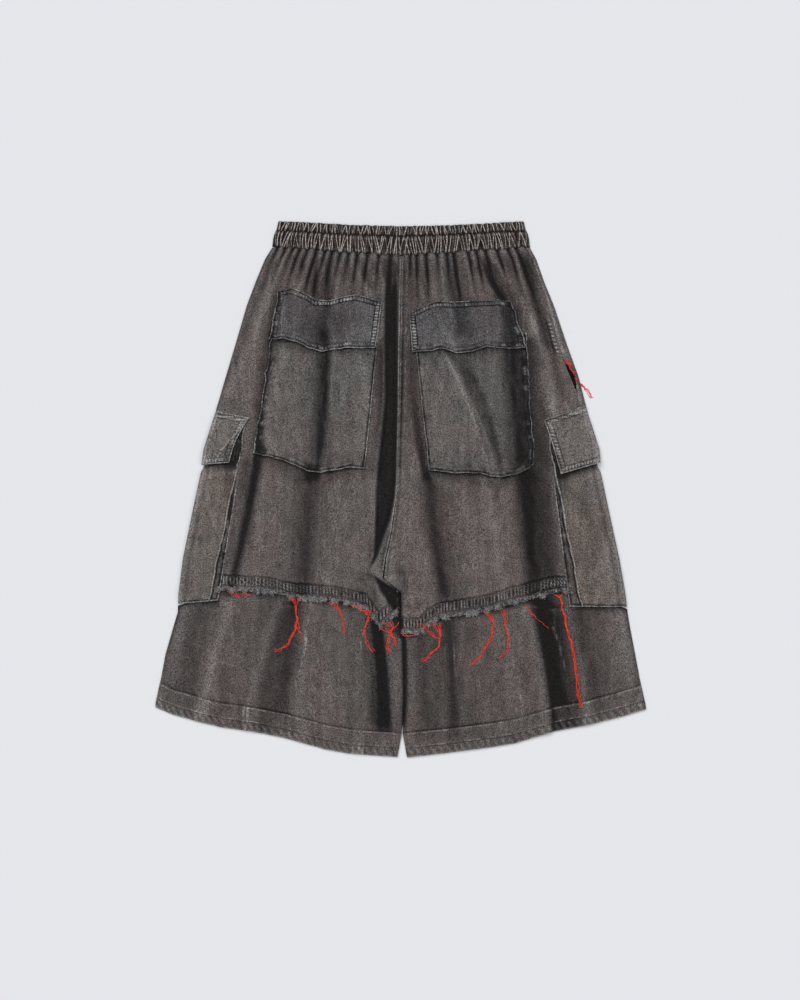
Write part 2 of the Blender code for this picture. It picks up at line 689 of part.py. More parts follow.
def thread_bundle(row, ground, look):
    """Loose ends, each a four-sided strand, grown out of one narrow strip."""
    name, strands, fan, *lie = row
    route = np.array(lie, float).reshape(4, 2)
    way = np.linspace(0, 3, 8)
    spine = np.stack([np.interp(way, range(4), route[:, k]) for k in (0, 1)], axis=1)
    cells = 2 * strands + 1
    width = 0.85
    start_x = spine[0, 0] - cells * width / 2
    trees = [tree_of(layer) for layer in ground]

    def height(x, y):
        found = [0.0]
        for dx in (-1.2, 0, 1.2):
            for dy in (-1.2, 0, 1.2):
                hits = (drop(tree, x + dx, y + dy) for tree in trees)
                found += [hit[0] for hit in hits if hit]
        return max(found)

    y_back, y_front = spine[0, 1] + 1.4, spine[0, 1] - 1.4
    seats = start_x + width * np.arange(cells + 1)
    base = max(height(x, y) for x in seats for y in (y_back, y_front)) + REST_GAP
    strip = np.zeros((2, cells + 1, 3))
    strip[..., 0] = seats
    strip[..., 1] = [[y_front], [y_back]]
    strip[..., 2] = base
    work, _ = placed_grid(strip)
    made = bmesh.ops.extrude_face_region(work, geom=list(work.faces))["geom"]
    for vert in (item for item in made if isinstance(item, bmesh.types.BMVert)):
        vert.co.z = base + 1.3
    front = [f for f in work.faces if all(abs(v.co.y - y_front) < 1e-4 for v in f.verts)]
    front.sort(key=lambda f: f.calc_center_median().x)
    ways = np.gradient(spine, axis=0)
    ways /= np.linalg.norm(ways, axis=1)[:, None]
    for strand, face in enumerate(front[1::2]):
        place = strand - (strands - 1) / 2
        last = 8 - (strand * 5 + strands) % 3
        was = face.calc_center_median()
        path = [(was.x, was.y)]
        sides = []
        for k in range(1, last):
            apart = max(2 * STRAND, fan * (0.5 + 0.7 * (k / 7) ** 2) / (strands - 1))
            across = np.array([-ways[k, 1], ways[k, 0]]) * (1 if -ways[k, 1] > 0 else -1)
            x, y = spine[k] + across * place * apart + (0.6 * np.sin(2.1 * k), 0)
            path.append((x, min(y, y_front - 0.6 - 1.2 * k)))
            sides.append(across * STRAND / 2)
        lows = [max(height(*spot) for spot in between(a, b)) for a, b in zip(path, path[1:])]
        for k in range(1, last):
            low = max(lows[k - 1 : k + 1]) + REST_GAP
            was = face.calc_center_median()
            face = bmesh.ops.extrude_discrete_faces(work, faces=[face])["faces"][0]
            for vert in face.verts:
                out = sides[k - 1] if vert.co.x > was.x else -sides[k - 1]
                high = low + (STRAND if vert.co.z > was.z else 0)
                vert.co = (path[k][0] + out[0], path[k][1] + out[1], high)
    return make_node(name, work, look)


def strip_places(rows):
    """Upper leaf of the right front: the strip that shows outside the seam, notched at the slot."""
    place = leg_grid(1, np.array([0.0]), rows, band_foot, raw_edge)
    place = np.repeat(place, 3, axis=1)
    width = strip_width(place[:, 0, 1])
    slot = along(STRIP, 0, 2, place[:, 0, 1])
    place[:, 0, 0] -= 1.6
    place[:, 1, 0] -= 1.6 + (width - slot - 1.6) * 0.5
    place[:, 2, 0] -= width - slot
    place[..., 2] = back_height(place[..., 0], place[..., 1])
    return place


def gathered(grid, side):
    """Raises every other column below the band, dying away down the leg."""
    cols = grid.shape[1]
    wave = np.where(np.arange(cols) % 2 == 0, -1.0, 1.0)
    drop_y = grid[:1, :, 1] - grid[..., 1]
    ends = np.ones(cols)
    ends[[0, -1]] = 0
    grid[..., 2] += GATHER * wave * ends * np.exp(-((drop_y / 42) ** 2))
    return grid


def build():
    for old in list(bpy.data.objects):
        bpy.data.objects.remove(old, do_unlink=True)
    bpy.context.scene.collection.children.link(bpy.data.collections.new(GARMENT))
    twill = material("twill", (0.085, 0.072, 0.069), 0.9)
    twill_dark = material("twill_cooler", (0.068, 0.062, 0.064), 0.9)
    band_look = material("band_twill", (0.06, 0.05, 0.047), 0.9)
    thread = material("red_thread", (0.42, 0.035, 0.03), 0.8)
    waistband(band_look)
    rows_c = np.array([0, 0.124, 0.225, 0.3, 0.45, 0.6, 0.75, 0.88, 1])
    rows_f = np.linspace(0, 1, 4)
    reach = (WRAP_UNDER, 40, 22, 10, CORNER)
    wraps = {}
    for side, tag in ((-1, "left"), (1, "right")):
        flap_under, flap_over, _ = cargo_places("cargo_flap_" + tag, 0.0, rows_f, reach)
        bag_under, bag_over, _ = cargo_places("cargo_bag_" + tag, bag_step, rows_c, reach)
        flap_top = flap_under.copy()
        flap_top[..., 2] += CLOTH
        bag_lift = rest_on(bag_under, [flap_top], SEAM_GAP)
        bag_under[..., 2] += bag_lift
        bag_top = bag_under.copy()
        bag_top[..., 2] += CLOTH
        wraps[tag] = (flap_under, flap_top, flap_over, bag_under, bag_top, bag_over)
    tops = {}
    inner_share = 1 - np.array([0.16, 0.13, 0.11, 0.095, 0.08, 0.055, 0.03, 0.012, 0.0])
    leg_rows = np.array(
        [0, 0.04, 0.1, 0.17, 0.25, 0.325, 0.366, 0.4, 0.4485, 0.462, 0.4925]
        + [0.56, 0.63, 0.7, 0.77, 0.82, 0.86, 0.9, 0.95, 1]
    )
    tier_rows = np.array([0, 0.13, 0.27, 0.302, 0.5, 0.66, 0.83, 0.845, 1.0])
    for side, tag in ((-1, "left"), (1, "right")):
        flap_under, flap_top, flap_over, bag_under, bag_top, bag_over = wraps[tag]
        hems = lambda x, s: hem_y(side, s)
        shares = spread([0, 0.03, 0.08], 5, [0.97, 1.0])
        leaves = [flap_top, bag_top]
        if side < 0:
            rows = np.array([0, 0.12, 0.24, 0.35, 0.4485, 0.462, 0.4925, 0.6, 0.7, 0.8, 0.88, 0.94, 1])
            front = leg_grid(side, shares, rows, band_foot, raw_edge, 1.2, 1.0)
            front[..., 2] += rest_on(front, leaves, SEAM_GAP)
            front_top = front.copy()
            front_top[..., 2] += CLOTH
            shell("front_" + tag, front, front_top, twill)
            strip = []
        else:
            front = leg_grid(side, shares, leg_rows, band_foot, raw_edge, CORNER, 1.0)[:, ::-1]
            front[..., 2] += rest_on(front, leaves, SEAM_GAP)
            front_top = front.copy()
            front_top[..., 2] += CLOTH
        low = leg_grid(side, shares, tier_rows, tier_top, hems, lambda y: tuck(side, y) + 1.2, 1.0)
        low[..., 2] += rest_on(low, [front_top, bag_top], SEAM_GAP)
        low_top = low.copy()
        low_top[..., 2] += np.where(tier_rows > 0.84, HEM_CLOTH, CLOTH)[:, None]
        shell("tier_front_" + tag, low, low_top, twill)
        # back of the lower tier
        if side < 0:
            cols = spread([0, 0.012, 0.03, 0.055], 17, [0.84, 0.87, 0.895, 0.92, 0.95, 0.975, 0.99, 1.0])
        else:
            cols = spread([0, 0.012, 0.03, 0.055], 20, [0.945, 0.97, 0.985, 1.0])
        rows = tier_rows
        tier = leg_grid(side, cols, rows, tier_top, hems, lambda y: tuck(side, y))
        tier[..., 2] = back_height(tier[..., 0], tier[..., 1]) - 1.6
        tier[..., 2] += np.where(rows > 0.84, HEM_CLOTH - CLOTH, 0)[:, None]
        cloth = np.where(rows > 0.84, HEM_CLOTH, CLOTH)[:, None]
        tier, tier_low = settle(tier, cloth, [low_top, front_top, *leaves])
        shell("tier_back_" + tag, tier, tier_low, twill)
        if side > 0:
            over, over_low = settle(strip_places(leg_rows), CLOTH, [tier, low_top])
            wrap_shell("front_" + tag, front, front_top, over, over_low, side, CLOTH, twill)
            strip = [over]
        if side < 0:
            cols = spread([0, 0.008, 0.022, 0.045], 19, list(inner_share))
        else:
            cols = spread([0, 0.008, 0.022, 0.045], 24, [0.955, 0.98, 0.99, 1.0])
        drawn_in = (lambda y: strip_width(y) + 0.6) if side > 0 else 0.0
        back = leg_grid(side, cols, leg_rows, band_foot, raw_edge, drawn_in)
        back[..., 2] = back_height(back[..., 0], back[..., 1])
        back = gathered(back, side)
        back, back_low = settle(back, CLOTH, [tier, low_top, front_top, *leaves])
        shell("back_" + tag, back, back_low, twill)
        tops[tag] = [back, tier, front_top, low_top]
        if side > 0:
            turn = over[:, :1] + (CORNER, 0, 0)
            tops[tag].append(np.concatenate([turn, over], axis=1))
        below = [back, tier, low_top, front_top, *strip]
        bag = bag_over
        bag[..., 2] = back_height(bag[..., 0], bag[..., 1]) + CLOTH + REST_GAP
        bag, bag_low = settle(bag, CLOTH, below)
        wrap_shell("cargo_bag_" + tag, bag_under, bag_top, bag, bag_low, side, CLOTH, twill_dark)
        flap = flap_over
        flap[..., 2] = back_height(flap[..., 0], flap[..., 1]) + 2 * CLOTH + 2 * REST_GAP
        flap, flap_low = settle(flap, FLAP_CLOTH, [bag, *below])
        wrap_shell("cargo_flap_" + tag, flap_under, flap_top, flap, flap_low, side, CLOTH, twill_dark)
        rows = np.linspace(0, 1, 8)
        bag = patch_places("pocket_bag_" + tag, spread([0, 0.04], 7, [0.96, 1.0]), rows)
        bag[..., 2] = back_height(bag[..., 0], bag[..., 1]) + CLOTH + 1.2
        bag, bag_low = settle(bag, CLOTH, [back])
        shell("pocket_bag_" + tag, bag, bag_low, twill_dark)
        rows = np.array([0, 0.3, 0.65, 1.0])
        flap = patch_places("pocket_flap_" + tag, spread([0, 0.04], 8, [0.96, 1.0]), rows)
        flap[..., 2] = back_height(flap[..., 0], flap[..., 1]) + CLOTH + 2.4 + 1.5 * rows[:, None]
        flap, flap_low = settle(flap, FLAP_CLOTH, [back, bag])
        shell("pocket_flap_" + tag, flap, flap_low, twill_dark)
    ground = tops["left"] + tops["right"]
    for row in THREADS:
        thread_bundle(row, ground, thread)


build()
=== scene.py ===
import bpy
import numpy as np
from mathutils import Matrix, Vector


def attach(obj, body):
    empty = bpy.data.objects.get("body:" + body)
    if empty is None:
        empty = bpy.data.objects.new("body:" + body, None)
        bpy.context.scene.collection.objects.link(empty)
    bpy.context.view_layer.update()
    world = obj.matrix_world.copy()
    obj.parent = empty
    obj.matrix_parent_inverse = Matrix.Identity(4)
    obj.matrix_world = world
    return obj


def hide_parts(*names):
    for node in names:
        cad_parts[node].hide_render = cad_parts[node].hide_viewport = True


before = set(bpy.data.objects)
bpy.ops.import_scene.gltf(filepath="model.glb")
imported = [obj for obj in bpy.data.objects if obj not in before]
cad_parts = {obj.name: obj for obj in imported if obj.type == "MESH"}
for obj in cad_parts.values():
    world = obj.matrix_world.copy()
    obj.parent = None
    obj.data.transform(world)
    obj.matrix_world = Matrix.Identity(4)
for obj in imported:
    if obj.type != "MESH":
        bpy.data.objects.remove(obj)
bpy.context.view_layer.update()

# Sizes in millimetres, the same as the solids' own.
CLOTH = 1.5  # washed twill, fulled
FLAP_CLOTH = 2.2  # two layers, bagged out and topstitched
BAND_CLOTH = 2.6  # waistband wall, folded twill over elastic
SEAM_GAP = 0.45  # clear space between neighbouring pieces
LOFT = 9.5  # how far the back stands off the front
HEM_LOFT = 2.4  # the same at the hem, which lies closed
WAIST_LOFT = 3.5
ROLL = 24.0  # width of the rolled side
LEG_ROLL = 13.0  # the same on the inner leg
CARGO_STEP = 8.3  # the side runs this far inside the cargo pocket
CORNER = 3.2  # reach of the turn where a piece wraps round the side
FLAP_STEP = 4.4  # the cargo bag runs this far inside its flap
WRAP_UNDER = 62.0  # how far a cargo pocket reaches under the leg
TIER_TUCK = 24.0  # the lower tier starts this far above the raw edge
BAND_GATHER = 3.0
CENTRE = (-0.85, 0.68)  # middle of the outline, moved to the origin
LEG_TOP = (316, 300)  # y of a leg's upper end, at the side and at the centre seam
LEG_FOOT = (-150, -165)  # y near the raw edge, at the same two places
TIER_START = -129  # a fold that starts lower than this y belongs to the tier
CROTCH_Y = -112  # the legs part below this y
FOLD_SHARE = 0.72  # share of a fold's tabled height that the soft cloth takes
FAR = 999.0  # a distance at which a fold has no effect
STITCH_LIFT = 0.15  # how far a stitch stands off the cloth
RUNG = 4.4  # spacing of the ladder of stitches along the raw edge
LADDER = 13.2  # the ladder's middle, above the raw edge
RAW_SEAMS = (18.5, 8.2)  # the stitch lines beside it, above the raw edge
HEM_TALL = 31.0  # the doubled hem
EDGE_SEAM = 1.9  # a stitch line this far inside a pocket's edge
TWIN_SEAM = 8.0  # and the second one
BAND_ENDS = (-169.5, 168.5)  # x of the waistband's ends
HEM_ENDS = ((-325.0, -6.0), (324.0, 6.5))  # x of each leg's hem, outer and inner end
BAG_LEAF = (98, -158)  # y of a cargo pocket's under leaf, top and foot
FLAP_LEAF = (118, 28)  # the same for its flap
BAG_TOP = 101  # the side runs inside the cargo pocket below this y
CARGO_SPAN = ((103.2, -152.8), (108, -156.6))  # y where each side runs inside flap or pocket
CELL = 4  # width of the squares in which the cloth's height is looked up for thread ends
FRAY_TRIES = 3600  # places along one leg's raw edge where a fibre may grow
SENSOR = 24  # height of the camera's sensor
CAMERA_HIGH = 3.2  # metres over the floor
PHOTO_TALL = 1.32  # metres of floor in the photograph's 1000 rows
PHOTO_MIDDLE = (-1.13, -13.88)  # what the middle of the photograph's frame shows

# Silhouette of the garment, cargo pockets included, from the waist seam to the hem.
# columns: y, left edge x, right edge x
OUTLINE = (
    (322, -169, 168),
    (304, -180, 178),
    (275, -192, 188),
    (243, -204, 201),
    (195, -218, 217),
    (148, -232, 234),
    (100, -246, 246),
    (53, -261, 261),
    (21, -265, 263),
    (-26, -275, 273),
    (-90, -288, 287),
    (-137, -294, 295),
    (-161, -295, 298),
    (-185, -302, 302),
    (-216, -311, 308),
    (-248, -317, 314),
    (-280, -324, 321),
    (-296, -325, 324),
)

# Centre back seam down to the crotch, then the two inner leg edges.
# columns: y, left panel's inner edge x, right panel's inner edge x
INNER = (
    (308, -0.3, 0.3),
    (119, -3.6, -3),
    (0, -6.2, -5.7),
    (-53, -12.9, -12.1),
    (-92, -21.6, -20.6),
    (-117, -25.2, -23.1),
    (-136, -4.4, -0.7),
    (-165, -2.5, -0.7),
    (-198, 2.9, 3.7),
    (-277, 3.8, 4.6),
    (-321, 0.1, 1.5),
    (-352, -5.7, 7.3),
)

# Waistband edges, dipping in the middle as the ring's near side does.
# columns: x, band's lower edge y, groove y, ruffle's top y
WAIST = (
    (-170, 320.1, 341.9, 354),
    (-134, 316.8, 340.6, 353),
    (-68, 311.5, 336.6, 349.1),
    (0, 308.2, 334.6, 347.2),
    (64, 311.5, 336.6, 348.5),
    (137, 316.8, 340.6, 352.4),
    (168, 320.1, 341.9, 353.8),
)

# Frayed lower edge of the upper legs.
# columns: x, raw edge y
RAW = (
    (-295, -130.7),
    (-237, -132),
    (-174, -134.6),
    (-134, -142.6),
    (-75, -147.8),
    (-44, -157.1),
    (-28, -182.2),
    (-5, -184.8),
    (2, -188.8),
    (22, -188.8),
    (35, -175.6),
    (51, -169),
    (104, -161),
    (156, -147.8),
    (212, -134.6),
    (298, -129.4),
)

# Lower edge of the hem.
# columns: x, hem y
HEM = (
    (-325, -286.4),
    (-303, -295.7),
    (-271, -304.9),
    (-240, -312.8),
    (-200, -318.1),
    (-155, -327.4),
    (-102, -341.9),
    (-71, -347.2),
    (-39, -349.8),
    (-7, -351.8),
    (9, -352.4),
    (56, -347.2),
    (119, -339.2),
    (151, -334),
    (204, -318.1),
    (246, -310.2),
    (288, -299.6),
    (324, -289.1),
)

# Main ridges (height above 0) and troughs (below 0) of the back.
# columns: fold, top y, x, middle y, x, foot y, x, width to the left, to the right, height
FOLDS = (
    ('left edge ridge', 314, -156, 218, -191, 119, -232, 9.2, 13.2, 4.5),
    ('left second ridge', 314, -147, 251, -176, 119, -197, 7.9, 13.2, 3.5),
    ('left gather bulge', 314, -119, 290, -125, 256, -139, 7.9, 5.3, 4),
    ('left gather slit', 309, -110, 284, -113, 251, -116, 4, 4, -3.5),
    ('left gather dip', 304, -100, 277, -98, 238, -97, 6.6, 5.3, -2.5),
    ('left gather rise', 309, -86, 284, -86, 244, -88, 6.6, 6.6, 3),
    ('left slanting rise', 309, -68, 284, -56, 251, -46, 6.6, 6.6, 3),
    ('rise by deep fold', 309, -34, 251, -23, 191, -27, 6.6, 5.3, 3.5),
    ('left long swell', 185, -145, 26, -147, -145, -154, 23.8, 21.1, 3.5),
    ('left pocket trough', 211, -100, 119, -102, 13, -113, 11.9, 6.6, -5),
    ('left pocket edge', 185, -84, 92, -84, -132, -93, 6.6, 13.2, 2.5),
    ('left hip swell', 66, -167, -40, -184, -145, -195, 10.6, 11.9, 3),
    ('left side trough', 66, -184, -40, -204, -139, -226, 6.6, 7.9, -6),
    ('left lower trough', 26, -121, -53, -125, -145, -130, 11.9, 9.2, -3.5),
    ('right gather slit', 306, 106, 277, 117, 235, 146, 4, 5.3, -4),
    ('right long ridge', 310, 116, 224, 171, 92, 199, 7.9, 11.9, 5.5),
    ('right side valley', 310, 158, 251, 174, 185, 192, 6.6, 6.6, -3.5),
    ('right side ridge', 277, 180, 198, 204, 92, 225, 9.2, 9.2, 3),
    ('right centre rise', 309, 14, 284, 20, 244, 30, 6.6, 6.6, 3),
    ('right gather rise', 309, 48, 284, 52, 238, 59, 6.6, 6.6, 3),
    ('right gather rise two', 309, 85, 284, 88, 251, 96, 6.6, 6.6, 3),
    ('right pocket ridge', 182, 52, 119, 88, 0, 129, 14.5, 6.6, 4),
    ('right pocket valley', 156, 90, 106, 112, 26, 130, 6.6, 5.3, -3),
    ('right pocket trough', 238, 146, 132, 150, 26, 162, 13.2, 11.9, -4),
    ('right low ridge', 26, 106, -53, 123, -145, 133, 10.6, 10.6, 4),
    ('right low trough', 26, 162, -53, 168, -152, 172, 15.8, 14.5, -7),
    ('right inner valley', 26, 38, -40, 42, -145, 59, 10.6, 9.2, -4),
    ('right inner rise', 13, 11, -40, 18, -92, 26, 10.6, 7.9, 2.5),
    ('right side rise', 26, 199, -40, 204, -132, 209, 9.2, 7.9, 2),
    ('tier left side ridge', -140, -222, -224, -248, -306, -267, 11.9, 11.9, 4),
    ('tier left hip ridge', -140, -155, -198, -179, -323, -200, 11.9, 11.9, 4.5),
    ('tier left trough', -135, -137, -211, -148, -330, -160, 17.2, 11.9, -4),
    ('tier left rise', -145, -118, -211, -127, -337, -134, 6.6, 11.9, 1.2),
    ('tier left inner rise', -145, -57, -251, -47, -343, -55, 11.9, 7.9, 2.5),
    ('tier left deep fold', -132, -39, -211, -28, -343, -23, 6.6, 6.6, -8),
    ('tier left far dip', -198, -213, -264, -229, -317, -237, 13.2, 10.6, -2.5),
    ('tier right valley', -165, 65, -224, 67, -343, 71, 9.2, 7.9, -1.8),
    ('tier right rise', -165, 77, -224, 77, -337, 81, 7.9, 15.8, 1),
    ('tier right ridge', -145, 160, -211, 176, -333, 193, 11.9, 9.2, 5),
    ('tier right trough', -140, 183, -211, 195, -327, 212, 9.2, 11.9, -6.5),
    ('tier right side ridge', -145, 217, -211, 230, -317, 249, 10.6, 11.9, 3.5),
    ('tier right dip', -198, 119, -277, 125, -341, 130, 15.8, 13.2, -3),
    ('tier right inner dip', -185, 24, -264, 30, -346, 34, 10.6, 10.6, -3),
)

# Slits between the gathers that the band draws in.
# columns: x at the band, slit's length
GATHERS = (
    (-164.3, 13),
    (-153.1, 18),
    (-142.6, 13),
    (-133.3, 32),
    (-123.4, 16),
    (-110.9, 50),
    (-99.7, 29),
    (-89.8, 16),
    (-79.2, 21),
    (-68, 13),
    (-56.8, 40),
    (-43.6, 42),
    (-29, 18),
    (-13.9, 73),
    (11.2, 16),
    (19.8, 48),
    (32.3, 53),
    (46.9, 16),
    (60.1, 21),
    (69.3, 66),
    (89.1, 40),
    (100.3, 45),
    (112.9, 18),
    (129.4, 37),
    (144.5, 40),
    (156.4, 45),
)

# How much painted shade lies in each main trough, and how much painted highlight on a ridge (shade below 0).
# columns: crease, top y, x, middle y, x, foot y, x, width to the left, to the right,
# shade at the top, at the foot
TONES = (
    ('left edge', 301, -166, 238, -196, 152, -221, 5.3, 4, 0.32, 0.2),
    ('left pale ridge', 290, -167, 224, -187, 99, -213, 9.2, 9.2, -0.14, -0.1),
    ('beside left pocket', 259, -160, 158, -176, 42, -189, 11.9, 6.6, 0.6, 0.78),
    ('under left pocket corner', 46, -192, -33, -204, -145, -236, 18.5, 11.9, 0.82, 0.55),
    ('left gather shade', 309, -116, 271, -113, 244, -112, 7.9, 7.9, 0.45, 0.45),
    ('left gather shade two', 317, -94, 271, -97, 224, -98, 6.6, 7.9, 0.45, 0.5),
    ('left flap trough', 290, -105, 238, -110, 189, -109, 22.4, 15.8, 0.35, 0.45),
    ('left flap pale side', 248, -150, 224, -154, 201, -155, 10.6, 10.6, -0.16, -0.12),
    ('left flap pale end', 240, -36, 211, -42, 185, -44, 15.8, 11.9, -0.12, -0.24),
    ('left slit', 306, -133, 293, -130, 275, -130, 4, 4.6, 0.55, 0.3),
    ('left slanting slit', 309, -60, 288, -51, 261, -36, 5.3, 5.3, 0.4, 0.35),
    ('left slanting slit two', 319, -43, 298, -36, 272, -26, 4, 4, 0.5, 0.35),
    ('left pocket trough', 231, -100, 132, -105, 32, -109, 17.2, 18.5, 0.58, 0.58),
    ('left pocket pale side', 191, -151, 132, -164, 50, -176, 11.9, 11.9, -0.24, -0.2),
    ('left pocket pale end', 182, -42, 119, -47, 46, -52, 7.9, 6.6, -0.2, -0.24),
    ('left pocket foot shade', 37, -117, 21, -118, 5, -119, 26.4, 18.5, 0.6, 0.6),
    ('below left pocket', 32, -113, -53, -125, -145, -133, 22.4, 18.5, 0.58, 0.58),
    ('deep fold top', 314, -14, 264, -14, 191, -14, 13.2, 10.6, 0.75, 0.85),
    ('deep fold shade', 205, -14, 106, -15, 16, -19, 21.1, 17.2, 0.88, 0.85),
    ('deep fold foot', 50, -18, -20, -23, -92, -34, 10.6, 9.2, 0.85, 0.8),
    ('crotch knot shade', -98, -1, -119, 3, -150, 1, 6.6, 4.6, 0.55, 0.6),
    ('crotch knot pale', -77, -22, -95, -18, -124, -10, 10.6, 9.2, -0.14, -0.16),
    ('beside inner strip', -108, -50, -132, -47, -158, -44, 11.9, 2.6, 0.45, 0.8),
    ("inner strip's edge", -116, -42, -145, -38, -185, -30, 1.6, 2.1, -0.25, -0.2),
    ('knot ridge', -92, -2, -119, 9, -156, 14, 4, 5.3, -0.14, -0.1),
    ('left flap crease', 251, -97, 218, -101, 182, -105, 9.2, 4.6, 0.5, 0.72),
    ('left pocket crease', 182, -98, 119, -100, 46, -105, 10.6, 5.3, 0.3, 0.3),
    ('left pocket line', 182, -89, 119, -92, 46, -93, 2.6, 2.6, -0.16, -0.12),
    ('seam valley right', 309, 7, 185, 7, 66, 6, 7.9, 7.9, 0.42, 0.3),
    ('right slit', 309, 14, 271, 14, 244, 15, 4, 4, 0.35, 0.3),
    ('right slit two', 306, 26, 264, 27, 232, 30, 5.3, 6.6, 0.35, 0.35),
    ('right gather trough', 317, 67, 271, 69, 198, 80, 6.6, 10.6, 0.6, 0.5),
    ('above right flap', 272, 77, 240, 81, 185, 85, 21.1, 23.8, 0.4, 0.3),
    ('right flap ridge', 222, 55, 206, 61, 182, 68, 10.6, 6.6, -0.2, -0.3),
    ('right flap pale end', 222, 114, 206, 117, 185, 122, 13.2, 13.2, -0.12, -0.12),
    ('right slanting slit', 306, 88, 288, 105, 261, 125, 6.6, 6.6, 0.45, 0.5),
    ('long slanting trough', 314, 105, 264, 126, 182, 148, 9.2, 10.6, 0.6, 0.85),
    ('right pocket trough', 205, 152, 119, 158, 29, 168, 25.1, 27.7, 0.86, 0.9),
    ('right dark spot', 272, 127, 251, 134, 222, 141, 10.6, 9.2, 0.8, 0.75),
    ('beside right flap', 256, 151, 218, 155, 185, 160, 9.2, 7.9, 0.4, 0.5),
    ('left flap right half', 261, -77, 238, -75, 214, -75, 17.2, 17.2, 0.3, 0.15),
    ('beside right pocket', 195, 14, 92, 20, 7, 34, 6.6, 7.9, 0.55, 0.95),
    ('right low trough', 40, 167, -40, 175, -152, 192, 25.1, 22.4, 0.9, 0.86),
    ('right of the trough', 86, 191, -13, 196, -145, 212, 10.6, 10.6, 0.45, 0.5),
    ('right long pale ridge', 232, 166, 185, 178, 95, 200, 7.9, 9.2, -0.16, -0.18),
    ('right side valley', 314, 159, 251, 179, 185, 197, 9.2, 7.9, 0.92, 0.55),
    ('right side valley low', 198, 193, 158, 205, 116, 216, 7.9, 7.9, 0.5, 0.42),
    ('right gather slit', 309, 137, 277, 146, 244, 162, 6.6, 6.6, 0.45, 0.3),
    ('right pocket ridge', 182, 56, 119, 84, 21, 118, 2.9, 2.1, -0.34, -0.3),
    ('right pocket pale side', 180, 43, 119, 71, 26, 104, 14.5, 10.6, -0.1, -0.06),
    ('right pocket valley', 185, 71, 125, 93, 37, 121, 7.3, 19.8, 0.6, 0.4),
    ('right pocket star', 185, 35, 169, 43, 145, 51, 4, 4, 0.5, 0.2),
    ('right pocket star two', 185, 48, 172, 59, 153, 68, 4, 3.3, 0.4, 0.2),
    ('right pocket foot pucker', 50, 130, 32, 131, 11, 134, 3.3, 3.3, 0.2, 0.5),
    ('right pocket foot pucker two', 46, 145, 29, 147, 11, 148, 3.3, 3.3, 0.2, 0.5),
    ('right flap ridge line', 251, 63, 218, 65, 182, 67, 2.6, 2.6, -0.24, -0.2),
    ('right flap valley', 251, 79, 227, 77, 191, 76, 9.2, 7.9, 0.42, 0.2),
    ('right flap dark end', 251, 137, 218, 141, 182, 146, 9.2, 11.9, 0.6, 0.75),
    ('right inner valley', 16, 34, -53, 43, -153, 56, 11.9, 26.4, 0.62, 0.66),
    ('right low pale ridge', 18, 102, -40, 118, -152, 133, 7.9, 9.2, -0.18, -0.12),
    ('tier side shade', -145, -271, -211, -279, -296, -291, 22.4, 19.8, 0.6, 0.4),
    ('tier side ridge', -145, -228, -211, -249, -297, -262, 9.2, 9.2, -0.06, -0.04),
    ('tier left trough', -132, -145, -218, -155, -319, -175, 30.4, 19.8, 0.6, 0.5),
    ('tier deep fold', -135, -40, -211, -32, -319, -23, 19.8, 17.2, 0.97, 0.88),
    ('between the legs', -187, 3, -238, 5, -317, 3, 4, 4, 0.85, 0.7),
    ('tier right shade', -164, 46, -238, 53, -335, 61, 47.5, 52.8, 0.42, 0.38),
    ('tier right valley', -161, 59, -224, 65, -314, 71, 10.6, 10.6, 0.34, 0.2),
    ('tier right trough', -132, 184, -211, 199, -325, 218, 22.4, 22.4, 0.9, 0.82),
    ('tier right side', -145, 230, -211, 242, -297, 259, 31.7, 31.7, 0.5, 0.42),
)

# The deep fold beside the centre seam, with painted shade inside it.
# columns: y, left wall x, right wall x, depth
DEEP = (
    (293, -17.8, -7.3, 0),
    (251, -21.1, -5.9, 7),
    (185, -21.1, -5.9, 10),
    (119, -20.5, -5.9, 11),
    (53, -27.1, -7.3, 13),
    (13, -31, -7.9, 14),
    (-13, -32.3, -10.6, 15),
    (-40, -33, -16.5, 15),
    (-66, -33.7, -25.7, 13),
    (-87, -35, -32.3, 8),
    (-100, -41.6, -38.9, 0),
)

# Edge of the crotch fold that lies over the left leg.
# columns: y, fold's edge x, how far it stands up
CROTCH = (
    (26, -5.9, 0),
    (-13, -9.9, 3),
    (-40, -15.8, 5),
    (-73, -28.4, 7),
    (-95, -37.6, 8),
    (-108, -44.2, 8.5),
    (-123, -21.8, 8),
    (-135, -2, 7),
)

# Corners of the pieces sewn flat on the back.
# columns: piece, top left x, y, top right x, y, foot left x, y, foot right x, y
PATCHES = (
    ('pocket_bag_left', -170, 207, -30, 207, -195, 46, -48, 30),
    ('pocket_bag_right', 16, 207, 163, 207, 36, 25, 175, 34),
    ('pocket_flap_left', -162, 256, -26, 249, -175, 197, -34, 185),
    ('pocket_flap_right', 10, 234, 145, 248, 14, 181, 163, 186),
)

